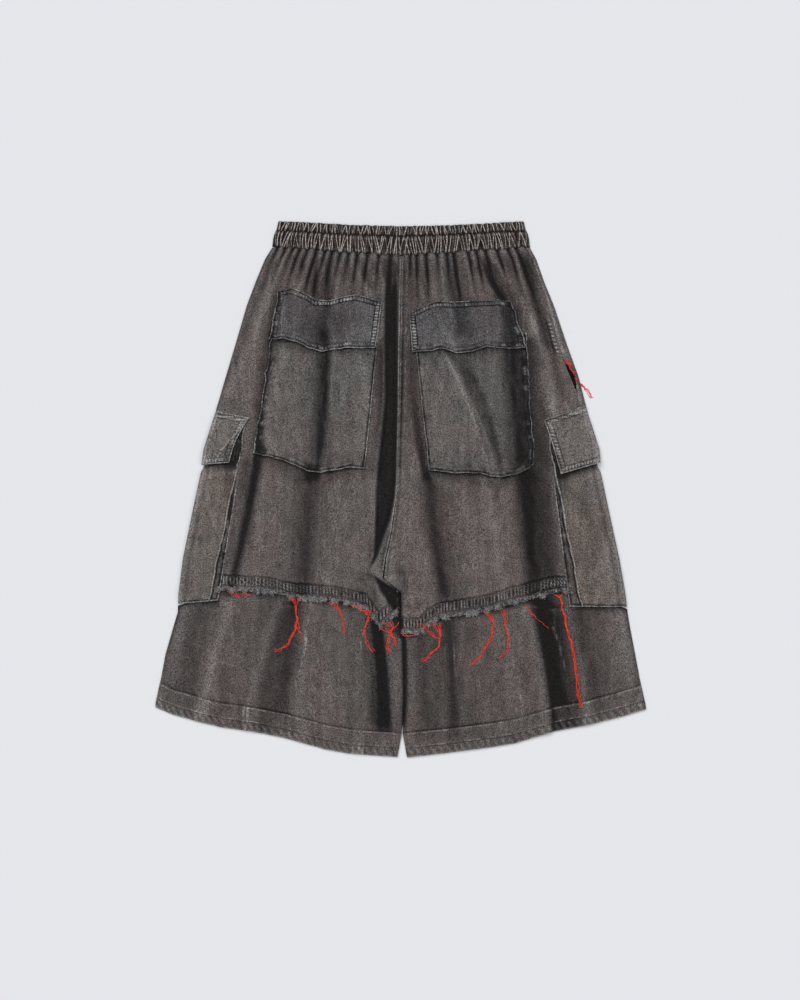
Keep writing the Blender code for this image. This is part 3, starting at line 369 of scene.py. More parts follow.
# How the patch pieces' top and foot edges leave the straight line between their corners.
# columns: piece, share across, top edge's rise, foot edge's rise
EDGES = (
    ('pocket_flap_left', 0, 5.3, 0),
    ('pocket_flap_left', 0.13, 10.6, 3.3),
    ('pocket_flap_left', 0.28, 3.3, 0),
    ('pocket_flap_left', 0.36, -3.3, -5.3),
    ('pocket_flap_left', 0.5, -3.4, -9.2),
    ('pocket_flap_left', 0.63, 2.6, -4.5),
    ('pocket_flap_left', 0.75, 6.1, -1.3),
    ('pocket_flap_left', 1, -1.3, 1.3),
    ('pocket_flap_right', 0, -1.3, 0),
    ('pocket_flap_right', 0.16, 7, 0.7),
    ('pocket_flap_right', 0.26, 10.6, 3.3),
    ('pocket_flap_right', 0.4, 7.7, -3.4),
    ('pocket_flap_right', 0.5, 6.6, -2.6),
    ('pocket_flap_right', 0.66, 5.7, 4),
    ('pocket_flap_right', 0.85, 4.2, 0),
    ('pocket_flap_right', 1, 0, 1.3),
    ('pocket_bag_left', 0, 0, 2.6),
    ('pocket_bag_left', 0.23, 0, -1.6),
    ('pocket_bag_left', 0.38, 0, -7.4),
    ('pocket_bag_left', 0.48, 0, -13.2),
    ('pocket_bag_left', 0.6, 0, -13.2),
    ('pocket_bag_left', 0.72, 0, -8.6),
    ('pocket_bag_left', 0.87, 0, -2.2),
    ('pocket_bag_left', 1, 0, -1.3),
    ('pocket_bag_right', 0, 0, 1.3),
    ('pocket_bag_right', 0.2, 0, -4.5),
    ('pocket_bag_right', 0.48, 0, -7.1),
    ('pocket_bag_right', 0.58, 0, -11.9),
    ('pocket_bag_right', 0.7, 0, -14.1),
    ('pocket_bag_right', 0.83, 0, -11.5),
    ('pocket_bag_right', 0.95, 0, -4.9),
    ('pocket_bag_right', 1, 0, 0),
)

# Pockets that wrap round the side.
# columns: piece, side, top inner x, y, foot inner x, y, top outer y, foot outer y
CARGO = (
    ('cargo_bag_left', -1, -204, 82, -241, -145, 92, -150),
    ('cargo_bag_right', 1, 191, 79, 221, -153, 98, -154),
    ('cargo_flap_left', -1, -200, 95, -226, 36, 108, 33),
    ('cargo_flap_right', 1, 187, 92, 209, 21, 111, 36),
)

# Side pocket in the right seam: the front comes round the side as a strip.
# columns: y, width of the strip, width of the pocket's slot
STRIP = (
    (330, 5, 0),
    (262, 5, 0),
    (228, 8, 0),
    (173, 12.5, 0.2),
    (155, 12, 7.5),
    (139, 10, 4.5),
    (128, 8, 0),
    (100, 6, 0),
    (-150, 5, 0),
)

# Loose red thread ends: the lie of each bundle, from its root down.
# columns: bundle, strands, spread, root x, y, knee x, y, bend x, y, end x, y
THREADS = (
    ("thread_a", 6, 10, -141, -144, -138, -170, -146, -198, -166, -214),
    ("thread_b", 4, 7, -92, -150, -80, -162, -76, -176, -78, -188),
    ("thread_c", 5, 8, -48, -160, -44, -172, -48, -190, -36, -212),
    ("thread_d", 6, 9, 46, -177, 51, -198, 44, -212, 26, -225),
    ("thread_e", 5, 6, 113, -164, 120, -188, 108, -212, 90, -232),
    ("thread_f", 4, 6, 134, -159, 140, -190, 140, -208, 128, -221),
    ("thread_h", 5, 7, 217, 168, 230, 150, 242, 134, 252, 122),
    ("thread_g", 6, 7, 206, -140, 218, -180, 232, -250, 236, -284),
)

# Finer ends with no solid of their own.
# columns: thread end, strands, spread at the root, then four places x, y along its lie
MORE_THREADS = (
    ("short_j", 2, 6, -224, -135, -215, -139, -206, -138, -198, -136),
    ("short_k", 3, 9, -62, -152, -54, -158, -48, -160, -40, -158),
    ("tangle_l", 5, 12, -14, -176, -12, -188, -18, -200, -14, -216),
    ("tangle_m", 3, 9, -22, -184, -14, -190, -8, -196, -10, -206),
    ("short_n", 2, 4, 2, -190, 7, -193, 12, -192, 18, -189),
    ("faint_o", 2, 3, 166, -154, 172, -164, 182, -172, 194, -182),
    ("branch_p", 2, 3, -138, -176, -134, -184, -130, -192, -131, -199),
    ("side_q", 3, 8, 27, -178, 34, -184, 42, -190, 46, -196),
)

# The fronts' seam lies under the left leg, so no floor shows between the legs.
# columns: y, left front's inner edge x, right front's inner edge x
FRONT_SEAM = (
    (310, -0.6, 0.6),
    (100, -4.6, -3.8),
    (-110, -6.4, -5.6),
    (-250, -5.2, -4.4),
    (-315, -2.0, 1.6),
    (-353, -5.8, 7.4),
)

# The waistband's near face, from its foot (place 0) over the groove (1) to the ruffle's top (2).
# columns: place, how far it stands up, share of the gathers, how far its ends are drawn in
BAND_PROFILE = (
    (0.0, 0.9, 0.3, 0),
    (0.05, 3.0, 0.8, 0.4),
    (0.15, 4.6, 1.0, 0.8),
    (0.5, 5.6, 1.0, 1.5),
    (0.82, 5.0, 1.0, 3.2),
    (0.94, 3.2, 0.7, 4.3),
    (1.0, 0.6, 0.2, 5.0),
    (1.1, 3.0, 0.8, 6.0),
    (1.45, 4.4, 1.0, 7.0),
    (1.8, 3.8, 1.0, 8.0),
    (2.0, 2.4, 0.8, 8.5),
)

# The waistband's gathers in its channel and in its ruffle: broad ones, and fine ones on them.
# columns: broad ones, lean, seed, fine ones, lean, seed, how far beside them their shade lies
BAND_PLEATS = (
    (64, 2.2, 33, 92, 4.2, 38, 0.0042),
    (60, 1.6, 35, 84, 2.6, 39, 0.0045),
)

# How the pieces sewn on top darken the cloth beside them.
# columns: piece, beside its left edge, right edge, below its foot, reach below
SHADES = (
    ("pocket_flap_left", 0.9, 0.5, 0.97, 7),
    ("pocket_bag_left", 0.95, 0.45, 0.95, 10),
    ("pocket_flap_right", 0.7, 0.85, 0.97, 8),
    ("pocket_bag_right", 0.8, 0.95, 0.97, 10),
)

# Pale crease lines that run up from the hem.
# columns: x at the hem, strength, seed
HEM_CREASES = (
    (-262, 0.9, 1),
    (-150, 1.05, 2),
    (-128, 1.1, 3),
    (-64, 1.0, 4),
    (80, 0.95, 5),
    (170, 1.0, 6),
    (236, 0.9, 7),
)

# Patches of painted shade on the cargo bags.
# columns: side, x, y, width, height, tone
BAG_SPOTS = (
    (-1, -272, -62, 16, 5, 0.4),
    (-1, -288, -90, 10, 22, 0.2),
    (1, 266, -48, 10, 12, 0.3),
    (1, 252, -20, 26, 8, 0.2),
)

# The hollow under the crotch fold, and the slot below it, both given painted shade.
HOLLOW = ((-40, -111), (-3, -134), (-1, -163), (-21, -147), (-28, -130))
SLOT = ((-20, -144), (-2, -140), (1.5, -198), (-6, -194))


def column(table, k):
    return np.array([row[k] for row in table], float)


def along(table, key, value, at):
    """One column of a table read at places along another."""
    keys = column(table, key)
    order = np.argsort(keys)
    return np.interp(at, keys[order], column(table, value)[order])


def half(table, side, y):
    """A table's left or right column, read at y."""
    return along(table, 0, 1 if side < 0 else 2, y)


def row_of(table, name):
    return next(row for row in table if row[0] == name)


def between(first, last, share):
    return first * (1 - share) + last * share


def smooth(t):
    t = np.clip(t, 0, 1)
    return t * t * (3 - 2 * t)


def rolled(q):
    """Quarter round from 0 at the edge to 1."""
    return np.sqrt(1 - (1 - np.clip(q, 0, 1)) ** 2)


def bell(off, wide, power=2):
    """1 at no distance, falling away over a width; a higher power has a flatter top."""
    return np.exp(-((off / wide) ** power))


def past(off):
    """Distance beyond an edge, 0 short of it."""
    return np.maximum(off, 0)


LATTICE = np.random.RandomState(11).rand(64, 256, 256)


def noise(x, y, wide, tall, seed):
    """Soft noise from 0 to 1 with cells of the given width and height."""
    gx, gy = np.asarray(x) / wide + 71.3, np.asarray(y) / tall + 39.1
    ix, iy = np.floor(gx).astype(int), np.floor(gy).astype(int)
    fx, fy = smooth(gx - ix), smooth(gy - iy)
    sheet = LATTICE[seed % 64]
    a, b = (between(sheet[ix % 256, j % 256], sheet[(ix + 1) % 256, j % 256], fx) for j in (iy, iy + 1))
    return between(a, b, fy)


def wave(place, wide, seed):
    """The same noise along one way only."""
    return noise(place, 0, wide, 1, seed)


def crumple(x, y, seed):
    """Fine washed-in creases, mostly down the leg, in millimetres."""
    bend = 16 * (noise(x, y, 60, 60, seed + 1) - 0.5)
    long = 1 - np.abs(2 * noise(x + bend, y, 15, 62, seed) - 1)
    short = 1 - np.abs(2 * noise(x + 0.5 * y + bend, y - 0.3 * x, 9, 24, seed + 2) - 1)
    where = noise(x, y, 45, 45, seed + 3)
    return 0.95 * (long**3 - 0.3) * where + 0.5 * (short**3 - 0.3) * (1 - where)


def cargo_covers(side, y):
    """1 where the side runs inside a cargo pocket, a half where only inside its flap."""
    start, foot = CARGO_SPAN[side > 0]
    top = 0.5 * smooth((start - y) / 1.6) + 0.5 * smooth((BAG_TOP - y) / 4.4)
    return top * smooth((y - foot) / 1.8)


def side_x(side, y):
    return half(OUTLINE, side, y) - side * CARGO_STEP * cargo_covers(side, y)


def inner_x(side, y):
    return half(INNER, side, y)


def from_seam(side, y, x):
    return np.abs(x - inner_x(side, y))


def strip_width(y):
    return along(STRIP, 0, 1, y)


def off_fold(row, x, y):
    """Distance across a fold's middle line, the same as a share of its width, and its height."""
    _, y0, x0, y1, x1, y2, x2, left, right, high = row
    a = (y - y1) * (y - y2) / ((y0 - y1) * (y0 - y2))
    b = (y - y0) * (y - y2) / ((y1 - y0) * (y1 - y2))
    c = (y - y0) * (y - y1) / ((y2 - y0) * (y2 - y1))
    inside = np.clip(y, y2 - 15, y0 + 15) == y
    off = np.where(inside, x - (a * x0 + b * x1 + c * x2), FAR)
    return off, off / np.where(off < 0, left, right), high


def fold_ends(row, y, past_end, fade):
    """1 along a fold, fading out past its top and its foot."""
    return smooth((row[1] + past_end - y) / fade) * smooth((y - row[5] + past_end) / fade)


def fold_height(x, y):
    """How far the main folds raise the cloth."""
    total = np.zeros(np.shape(x))
    for row in FOLDS:
        _, reach, high = off_fold(row, x, y)
        total = total + FOLD_SHARE * high * fold_ends(row, y, 11, 24) * np.exp(-(reach**2))
    return total


def fold_paint(x, y, tier=False):
    """Painted shade in the troughs and painted highlight on the pale ridges, and a pale line on each ridge's
    crest that is partly wear and partly painted highlight.
    """
    light, pale = np.ones(np.shape(x)), np.zeros(np.shape(x))
    wander = 2.6 * (noise(x, y, 22, 34, 3) - 0.5) + 1.2 * (noise(x, y, 7, 12, 4) - 0.5)
    for row in TONES:
        if (row[1] < TIER_START) != tier:
            continue
        *line, head, foot = row
        _, reach, _ = off_fold((*line, 0), x + wander, y)
        tone = head + (foot - head) * np.clip((row[1] - y) / (row[1] - row[5]), 0, 1)
        # the deepest troughs have a flat floor of painted shade
        flat = 2.3 + 1.7 * smooth((tone - 0.7) / 0.2)
        shade = fold_ends(row, y, 8, 22) * np.exp(-(np.abs(reach) ** flat))
        light = light * (1 - np.clip(tone, 0, 1) * shade)
        pale = pale + np.clip(-tone, 0, 1) * shade * (0.5 + noise(x, y, 12, 30, 6))
    for k, row in enumerate(FOLDS):
        if row[9] > 0:
            off, _, _ = off_fold(row, x + wander, y)
            line = fold_ends(row, y, 6, 40) * bell(off - row[8] * 0.25, 1.1)
            pale = pale + 0.14 * line * smooth((noise(x, y, 9, 16, k) - 0.4) / 0.3)
    return 1 - light, pale


def deep_shade(x, y):
    """1 inside the deep fold beside the centre seam."""
    left, right, depth = (along(DEEP, 0, k, y) for k in (1, 2, 3))
    soft = np.clip(0.5 * (right - left), 1.2, 7)
    return smooth((x - left + 1) / soft) * smooth((right + 1.6 - x) / 2) * smooth((depth - 0.5) / 4)


def inside(x, y, corners, soft=2.0):
    """1 inside a convex outline given clockwise, fading out over its edge."""
    least = 99.0
    for (ax, ay), (bx, by) in zip(corners, corners[1:] + corners[:1]):
        length = np.hypot(bx - ax, by - ay)
        least = np.minimum(least, ((bx - ax) * (ay - y) + (by - ay) * (x - ax)) / length)
    return smooth(least / soft + 0.5)


def crotch_shade(x, y):
    return np.maximum(inside(x, y, HOLLOW), inside(x, y, SLOT))


def back_height(x, y):
    """Height of the cloth's outer face over the floor."""
    sides = rolled((x - side_x(-1, y)) / ROLL) * rolled((side_x(1, y) - x) / ROLL)
    leg = np.where(x < inner_x(-1, y), inner_x(-1, y) - x, x - inner_x(1, y))
    split = smooth((CROTCH_Y - y) / 26)
    legs = 1 - split * (1 - rolled(np.abs(leg) / LEG_ROLL))
    loft = WAIST_LOFT + (LOFT - WAIST_LOFT) * smooth((312 - y) / 70)
    loft = HEM_LOFT + (loft - HEM_LOFT) * smooth((y - along(HEM, 0, 1, x)) / 120)
    high = (loft + fold_height(x, y)) * sides * legs
    seam = -1.6 * bell(leg, 4.0) * (1 - split)
    left, right, depth = (along(DEEP, 0, k, y) for k in (1, 2, 3))
    deep = depth * smooth((x - left + 2.5) / 5) * smooth((right + 2.5 - x) / 5)
    edge = along(CROTCH, 0, 1, y)
    over = smooth((x - edge + 3) / 6) * bell(past(x - edge), 52)
    stands = along(CROTCH, 0, 2, y) * over * smooth((20 - y) / 60) * smooth((y + 160) / 22)
    fine = crumple(x, y, 5) * smooth((LOFT + high) / 12)
    high = 3.6 + high + seam - deep + stands - 8 * inside(x, y, HOLLOW, 7) + fine
    return np.maximum(CLOTH * 2 + 0.8, high)


def steps(near, count, far):
    """Shares from 0 to 1: the listed ones, then even steps, then the last ones."""
    return np.concatenate([near, np.linspace(near[-1], far[0], count + 2)[1:-1], far])


def stretches(*parts):
    """Shares in stretches of even steps; columns: first, last, count."""
    runs = [np.linspace(*part) for part in parts]
    return np.concatenate(runs[:1] + [run[1:] for run in runs[1:]])


def leg_grid(side, shares, rows, top, foot, inset=0.0, straight=False):
    """Places across one leg: share 0 at the side, 1 at the centre or inner leg."""
    place = np.zeros((len(rows), len(shares), 3))
    ends = []
    for (side_y, inner_y), line in ((LEG_TOP, top), (LEG_FOOT, foot)):
        ends.append(line(between(side_x(side, side_y), inner_x(side, inner_y), shares), shares))
    for r, v in enumerate(rows):
        y = between(*ends, v)
        outer = side_x(side, y) - side * (inset(y) if callable(inset) else inset)
        inner = half(FRONT_SEAM if straight else INNER, side, y)
        place[r, :, 0] = between(outer, inner, shares)
        place[r, :, 1] = y
    return place


def band_foot(x, shares):
    return along(WAIST, 0, 1, x) - SEAM_GAP - 0.25


def raw_edge(x, shares=None):
    return along(RAW, 0, 1, x)


def left_edge(x, shares):
    """The left leg's raw edge, cut on the slant across its narrow inner strip."""
    return raw_edge(x) + np.interp(x, (-30, -2), (0, 27))


def tier_top(x, shares):
    return raw_edge(x) + TIER_TUCK


def hem_y(side):
    """The hem's line on one leg."""
    return lambda x, shares: along(HEM, 0, 1, between(*HEM_ENDS[side > 0], shares))


def leaf_lift(side, x, y):
    """How far the layers over a cargo pocket's under leaf are raised."""
    reach = smooth((WRAP_UNDER + 6 - np.abs(x - side_x(side, y))) / 10)
    bag, flap = (smooth((top - y) / 8) * smooth((y - foot) / 8) for top, foot in (BAG_LEAF, FLAP_LEAF))
    return (CLOTH + SEAM_GAP) * reach * (bag + flap)


def tuck(side, more=0.0):
    """How far a tier's side runs inside the upper leg's, at each y."""
    least = CORNER + 0.8 if side > 0 else 0.6
    return lambda y: least * smooth((y + 150) / 12) + more


def tier_height(side, x, y):
    """Height of a lower tier's face: under the upper leg, then on its own."""
    return np.maximum(back_height(x, y) - 1.9, 3.9 + leaf_lift(side, x, y))


def upper_height(side, x, y):
    """Height of the upper leg's face, raised a little over the tier below its edge."""
    over_tier = smooth((raw_edge(x) + TIER_TUCK + 16 - y) / 18)
    return np.maximum(back_height(x, y) + 0.4 * over_tier, 3.7 + leaf_lift(side, x, y) + 1.8 * over_tier)


def blurred(field, reach):
    """A field smoothed along both ways of its grid."""
    out, wide = field.copy(), 2 * reach + 1
    for axis in (0, 1):
        for _ in range(3):
            pad = [(reach, reach) if a == axis else (0, 0) for a in (0, 1)]
            total = np.cumsum(np.pad(out, pad, mode="edge"), axis=axis)
            total = np.concatenate([np.take(total, [0], axis=axis) * 0, total], axis=axis)
            n = out.shape[axis]
            high = np.take(total, range(wide, wide + n), axis=axis)
            out = (high - np.take(total, range(n), axis=axis)) / wide
    return out


def relief(grid):
    """Painted shade in the hollows and on steep cloth, painted highlight on the crests."""
    z = grid[..., 2]
    run_x = np.gradient(grid[..., 0], axis=1) + 1e-6
    run_y = np.gradient(grid[..., 1], axis=0) - 1e-6
    slope = np.hypot(np.gradient(z, axis=1) / run_x, np.gradient(z, axis=0) / run_y)
    off = z - blurred(z, 2)
    painted_shade = 0.42 * np.clip(-off / 1.1, 0, 1) + 0.15 * smooth((slope - 0.4) / 1.1)
    return painted_shade, 0.28 * np.clip(off / 0.8, 0, 1)


def pleats(u, v, count, lean, seed, thin=1.0):
    """Irregular ridges side by side: how high the nearest one stands, and which it is."""
    dice = np.random.RandomState(seed)
    best, which = np.zeros(np.broadcast(u, v).shape), np.zeros(np.broadcast(u, v).shape, int)
    for k in range(-1, count + 1):
        middle = (k + 0.5 + 0.7 * (dice.rand() - 0.5)) / count
        slant, bow = lean * (dice.rand() - 0.5) / count, 1.8 * (dice.rand() - 0.5) / count
        wide, high = thin * (0.34 + 0.3 * dice.rand()) / count, 0.5 + 0.5 * dice.rand()
        ridge = high * bell(u - middle - slant * (v - 0.5) - bow * (v - 0.5) ** 2, wide)
        which = np.where(ridge > best, k + 1, which)
        best = np.maximum(best, ridge)
    return best, which


def gathers(side, lane, down, wide):
    """Shade in the slits below the band, and the rounded ridges between them."""
    edge, middle = side_x(side, LEG_TOP[0]), inner_x(side, LEG_TOP[1])
    shade, ridge = np.zeros(lane.shape), np.ones(lane.shape)
    for x, length in GATHERS:
        if side * x > 0:
            off = (lane - (x - edge) / (middle - edge)) * wide
            level = bell(past(down), length, 1.7) * np.clip(0.4 + length / 75, 0, 0.95)
            shade = np.maximum(shade, level * bell(off, 1.0 + 0.035 * past(down)))
            ridge = np.minimum(ridge, 1 - bell(off, 3.4))
    return shade, ridge


def lines_mm(grid):
    """Running length down each column and across each row, in millimetres."""
    runs = []
    for axis in (0, 1):
        run = np.cumsum(np.linalg.norm(np.diff(grid, axis=axis), axis=2), axis=axis)
        runs.append(np.concatenate([np.take(run, [0], axis=axis) * 0, run], axis=axis))
    return runs


def linked(name, data):
    made = bpy.data.objects.new(name, data)
    bpy.context.scene.collection.objects.link(made)
    return made


def new_mesh(name, points, faces, look, floats=None, soft=True):
    """An object from points in millimetres, with values at its points; it rides the root."""
    mesh = bpy.data.meshes.new(name)
    points = (np.asarray(points, float).reshape(-1, 3) - (*CENTRE, 0)) / 1000
    mesh.from_pydata(points.tolist(), [], [tuple(int(i) for i in f) for f in faces])
    mesh.update()
    for key, values in (floats or {}).items():
        layer = mesh.attributes.new(key, "FLOAT", "POINT")
        layer.data.foreach_set("value", np.ascontiguousarray(values, np.float32).reshape(-1))
    if soft:
        mesh.polygons.foreach_set("use_smooth", np.ones(len(mesh.polygons), bool))
    mesh.materials.append(look)
    made = linked(name, mesh)
    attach(made, "root")
    return made


def grid_faces(rows, cols, closed=False):
    a = np.arange(rows * cols).reshape(rows, cols)
    if closed:
        a = np.concatenate([a, a[:, :1]], axis=1)
    quads = np.stack([a[:-1, :-1], a[1:, :-1], a[1:, 1:], a[:-1, 1:]], axis=-1)
    return quads.reshape(-1, 4)


def cloth(node, grid, thick, look, wear_and_highlight=0, painted_shade=0, flip=False, closed=False):
    """A shell of cloth below a grid of outer points, standing for a CAD node."""
    faces = grid_faces(*grid.shape[:2], closed)
    low, crest = relief(grid)
    # the relief's painted shade and painted highlight join each piece's own
    floats = {"wear_and_highlight": np.clip(crest + wear_and_highlight, 0, 1), "painted_shade": np.clip(low + painted_shade, 0, 1)}
    made = new_mesh(node + "_cloth", grid, faces[:, ::-1] if flip else faces, look, floats)
    solid = made.modifiers.new("cloth", "SOLIDIFY")
    solid.thickness, solid.offset, solid.use_rim = thick / 1000, -1, True
    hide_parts(node)
    return made


def ladder_rungs(run, seed):
    return np.cos(2 * np.pi * run / 4.1 + 5 * wave(run, 14, seed)) * 0.7


def edge_wear_and_highlight(near, run, seed, rungs=1.0):
    """Pale on a cut or folded edge, partly abrasion and partly painted highlight, and painted highlight on
    the rungs and puckers between the stitch lines.
    """
    pale = smooth(ladder_rungs(run, seed) + 0.2)
    patch = smooth((wave(run, 30, seed + 1) - 0.25) / 0.6)
    line = bell(near, 1.0) * (0.3 + 0.9 * wave(run, 2.6, seed)) * (0.45 + 0.65 * patch)
    blobs = 0.3 * bell(near - 4.5, 4.0) * smooth((noise(run, near, 6.5, 9, seed + 2) - 0.55) / 0.25)
    return line + rungs * (0.2 + 0.7 * patch) * pale * bell(near - 4.6, 2.3, 4) + blobs


def edge_painted_shade(near, run, seed, rungs=1.0):
    """Painted shade along the stitch lines, between the ladder's rungs and in the puckers beside them."""
    gaps = smooth(0.1 - ladder_rungs(run, seed))
    first = 1.1 * bell(near - 2.5, 0.9) * (0.35 + 0.9 * wave(run, 4, seed + 3))
    second = 0.85 * rungs * bell(near - 7.6, 0.9)
    pucker = 0.4 * bell(near, 7) * smooth((0.5 - noise(run, near, 5.5, 8, seed + 4)) / 0.3)
    return first + second + rungs * 0.75 * gaps * bell(near - 4.8, 2.6, 4) + pucker


def at(grid, rows, cols):
    """Points of a grid at fractional rows and columns."""
    rows = np.clip(rows, 0, grid.shape[0] - 1.001)
    cols = np.clip(cols, 0, grid.shape[1] - 1.001)
    r, c = rows.astype(int), cols.astype(int)
    fr, fc = (rows - r)[:, None], (cols - c)[:, None]
    above, below = (between(grid[k, c], grid[k, c + 1], fc) for k in (r, r + 1))
    return between(above, below, fr)


def inward(runs, millimetres, from_end):
    """Fractional place that far in along each running length."""
    out = []
    for run in runs:
        place = np.interp(millimetres, run[-1] - run[::-1] if from_end else run, np.arange(len(run)))
        out.append(len(run) - 1 - place if from_end else place)
    return np.array(out)


def line_down(grid, millimetres, first, last, from_end=False):
    """Points down a grid, that far in from one end of each row."""
    rows = np.arange(first, last)
    return at(grid, rows, inward(lines_mm(grid)[1][rows], millimetres, from_end))


def line_across(grid, millimetres, first=0, last=None, from_end=True):
    """Points across a grid, that far in from the top or foot of each column."""
    cols = np.arange(first, last or grid.shape[1])
    return at(grid, inward(lines_mm(grid)[0].T[cols], millimetres, from_end), cols)


def unit(way):
    return way / max(np.linalg.norm(way), 1e-6)


def run_of(line):
    """Running length along a line of points."""
    return np.concatenate([[0], np.cumsum(np.linalg.norm(np.diff(line, axis=0), axis=1))])


def on_line(line, keys, key):
    return np.array([np.interp(key, keys, line[:, i]) for i in range(3)])


STITCHES = []


def stitch_run(points, pitch=3.1, length=2.2, width=0.55, skip=0.0, seed=0):
    """Adds small thread bars along a line of surface points."""
    run = run_of(points)
    count = int(run[-1] / pitch)
    dice = np.random.RandomState(seed + count)
    for k in range(count):
        if dice.rand() < skip:
            continue
        s = (k + 0.5) * pitch
        mid = on_line(points, run, s)
        STITCHES.append((mid, on_line(points, run, s + length / 2) - mid, width))


def bars(start, rings, sides):
    """Faces of a tube whose rings of points follow one another, without its end caps."""
    faces = []
    for r in range(rings - 1):
        for k in range(sides):
            f, p = (k + 1) % sides, start + r * sides
            faces.append((p + k, p + f, p + sides + f, p + sides + k))
    return faces


def sew(name, look):
    """All the stitches added so far, as one mesh of small arched bars."""
    points, faces = [], []
    shape = ((-1, 0.55), (-0.55, 1.0), (0.55, 1.0), (1, 0.55))
    for mid, reach, width in STITCHES:
        side = unit(np.cross(reach, (0, 0, 1.0)))
        up = unit(np.cross(side, reach))
        start = len(points)
        for t, wide in shape:
            for a, b in ((-1, -0.6), (0, 0.75), (1, -0.6)):
                rise = up * (STITCH_LIFT + b * width / 2 - 0.25 * t * t)
                points.append(mid + reach * t + side * a * wide * width / 2 + rise)
        faces += bars(start, len(shape), 3)
        faces += [(start, start + 1, start + 2), (start + 11, start + 10, start + 9)]
    return new_mesh(name, points, faces, look, soft=False)


def strand_mesh(name, routes, look, sides=3):
    """Many thin strands, each a tapering tube along its route of (point, radius)."""
    points, faces = [], []
    for route in routes:
        start = len(points)
        ways = np.gradient(np.array([p for p, _ in route]), axis=0)
        for (spot, radius), way in zip(route, ways):
            way = unit(way)
            across = unit(np.cross(way, (0.13, 0.05, 1.0)))
            up = np.cross(across, way)
            for k in range(sides):
                turn = 2 * np.pi * k / sides
                points.append(spot + radius * (across * np.cos(turn) + up * np.sin(turn)))
        faces += bars(start, len(route), sides)
        last = start + (len(route) - 1) * sides
        faces += [tuple(range(start + sides - 1, start - 1, -1)), tuple(range(last, last + sides))]
    made = new_mesh(name, points, faces, look)
    return made


def fill(tree, socket, value):
    """Links a socket to another one, or gives it a value."""
    if hasattr(value, "links"):
        tree.links.new(value, socket)
    elif socket.type == "RGBA":
        socket.default_value = (*value, 1)
    else:
        socket.default_value = value


def add(tree, kind, inputs, **settings):
    """A shader node with its settings, and its inputs by name or number."""
    node = tree.nodes.new("ShaderNode" + kind)
    for key, value in settings.items():
        setattr(node, key, value)
    for key, value in inputs.items():
        fill(tree, node.inputs[key], value)
    return node


def mix(tree, kind, factor, a, b):
    """A colour mix node; factor, a and b are sockets or values."""
    return add(tree, "Mix", {0: factor, 6: a, 7: b}, data_type="RGBA", blend_type=kind).outputs[2]


def noise_node(tree, where, scale, detail=2.0, stretch=None, rough=0.6):
    if stretch:
        where = add(tree, "Mapping", {"Scale": stretch, "Vector": where}).outputs["Vector"]
    inputs = {"Scale": scale, "Detail": detail, "Roughness": rough, "Vector": where}
    return add(tree, "TexNoise", inputs).outputs["Fac"]


def ramp(tree, factor, low, high, to_low=0.0, to_high=1.0):
    inputs = {1: low, 2: high, 3: to_low, 4: to_high, 0: factor}
    return add(tree, "MapRange", inputs, interpolation_type="SMOOTHSTEP").outputs[0]


def math_node(tree, kind, a, b):
    return add(tree, "Math", {0: a, 1: b}, operation=kind).outputs[0]


def attribute(tree, name):
    return add(tree, "Attribute", {}, attribute_name=name).outputs["Fac"]


def bump(tree, height, strength, distance, **inputs):
    inputs.update({"Strength": strength, "Distance": distance, "Height": height})
    return add(tree, "Bump", inputs).outputs["Normal"]


def tinted(colour, tint):
    return tuple(c * f for c, f in zip(colour, tint))


def blank_look(name, inputs):
    """A material whose shader has these constants, with its node tree and its shader."""
    made = bpy.data.materials.new(name)
    made.use_nodes = True
    tree = made.node_tree
    shader = tree.nodes["Principled BSDF"]
    for key, value in inputs.items():
        fill(tree, shader.inputs[key], value)
    return made, tree, shader


def multiplied(tree, share, colour, field, darkest, palest):
    """A colour made darker and paler by a field."""
    return mix(tree, "MULTIPLY", share, colour, mix(tree, "MIX", field, darkest, palest))


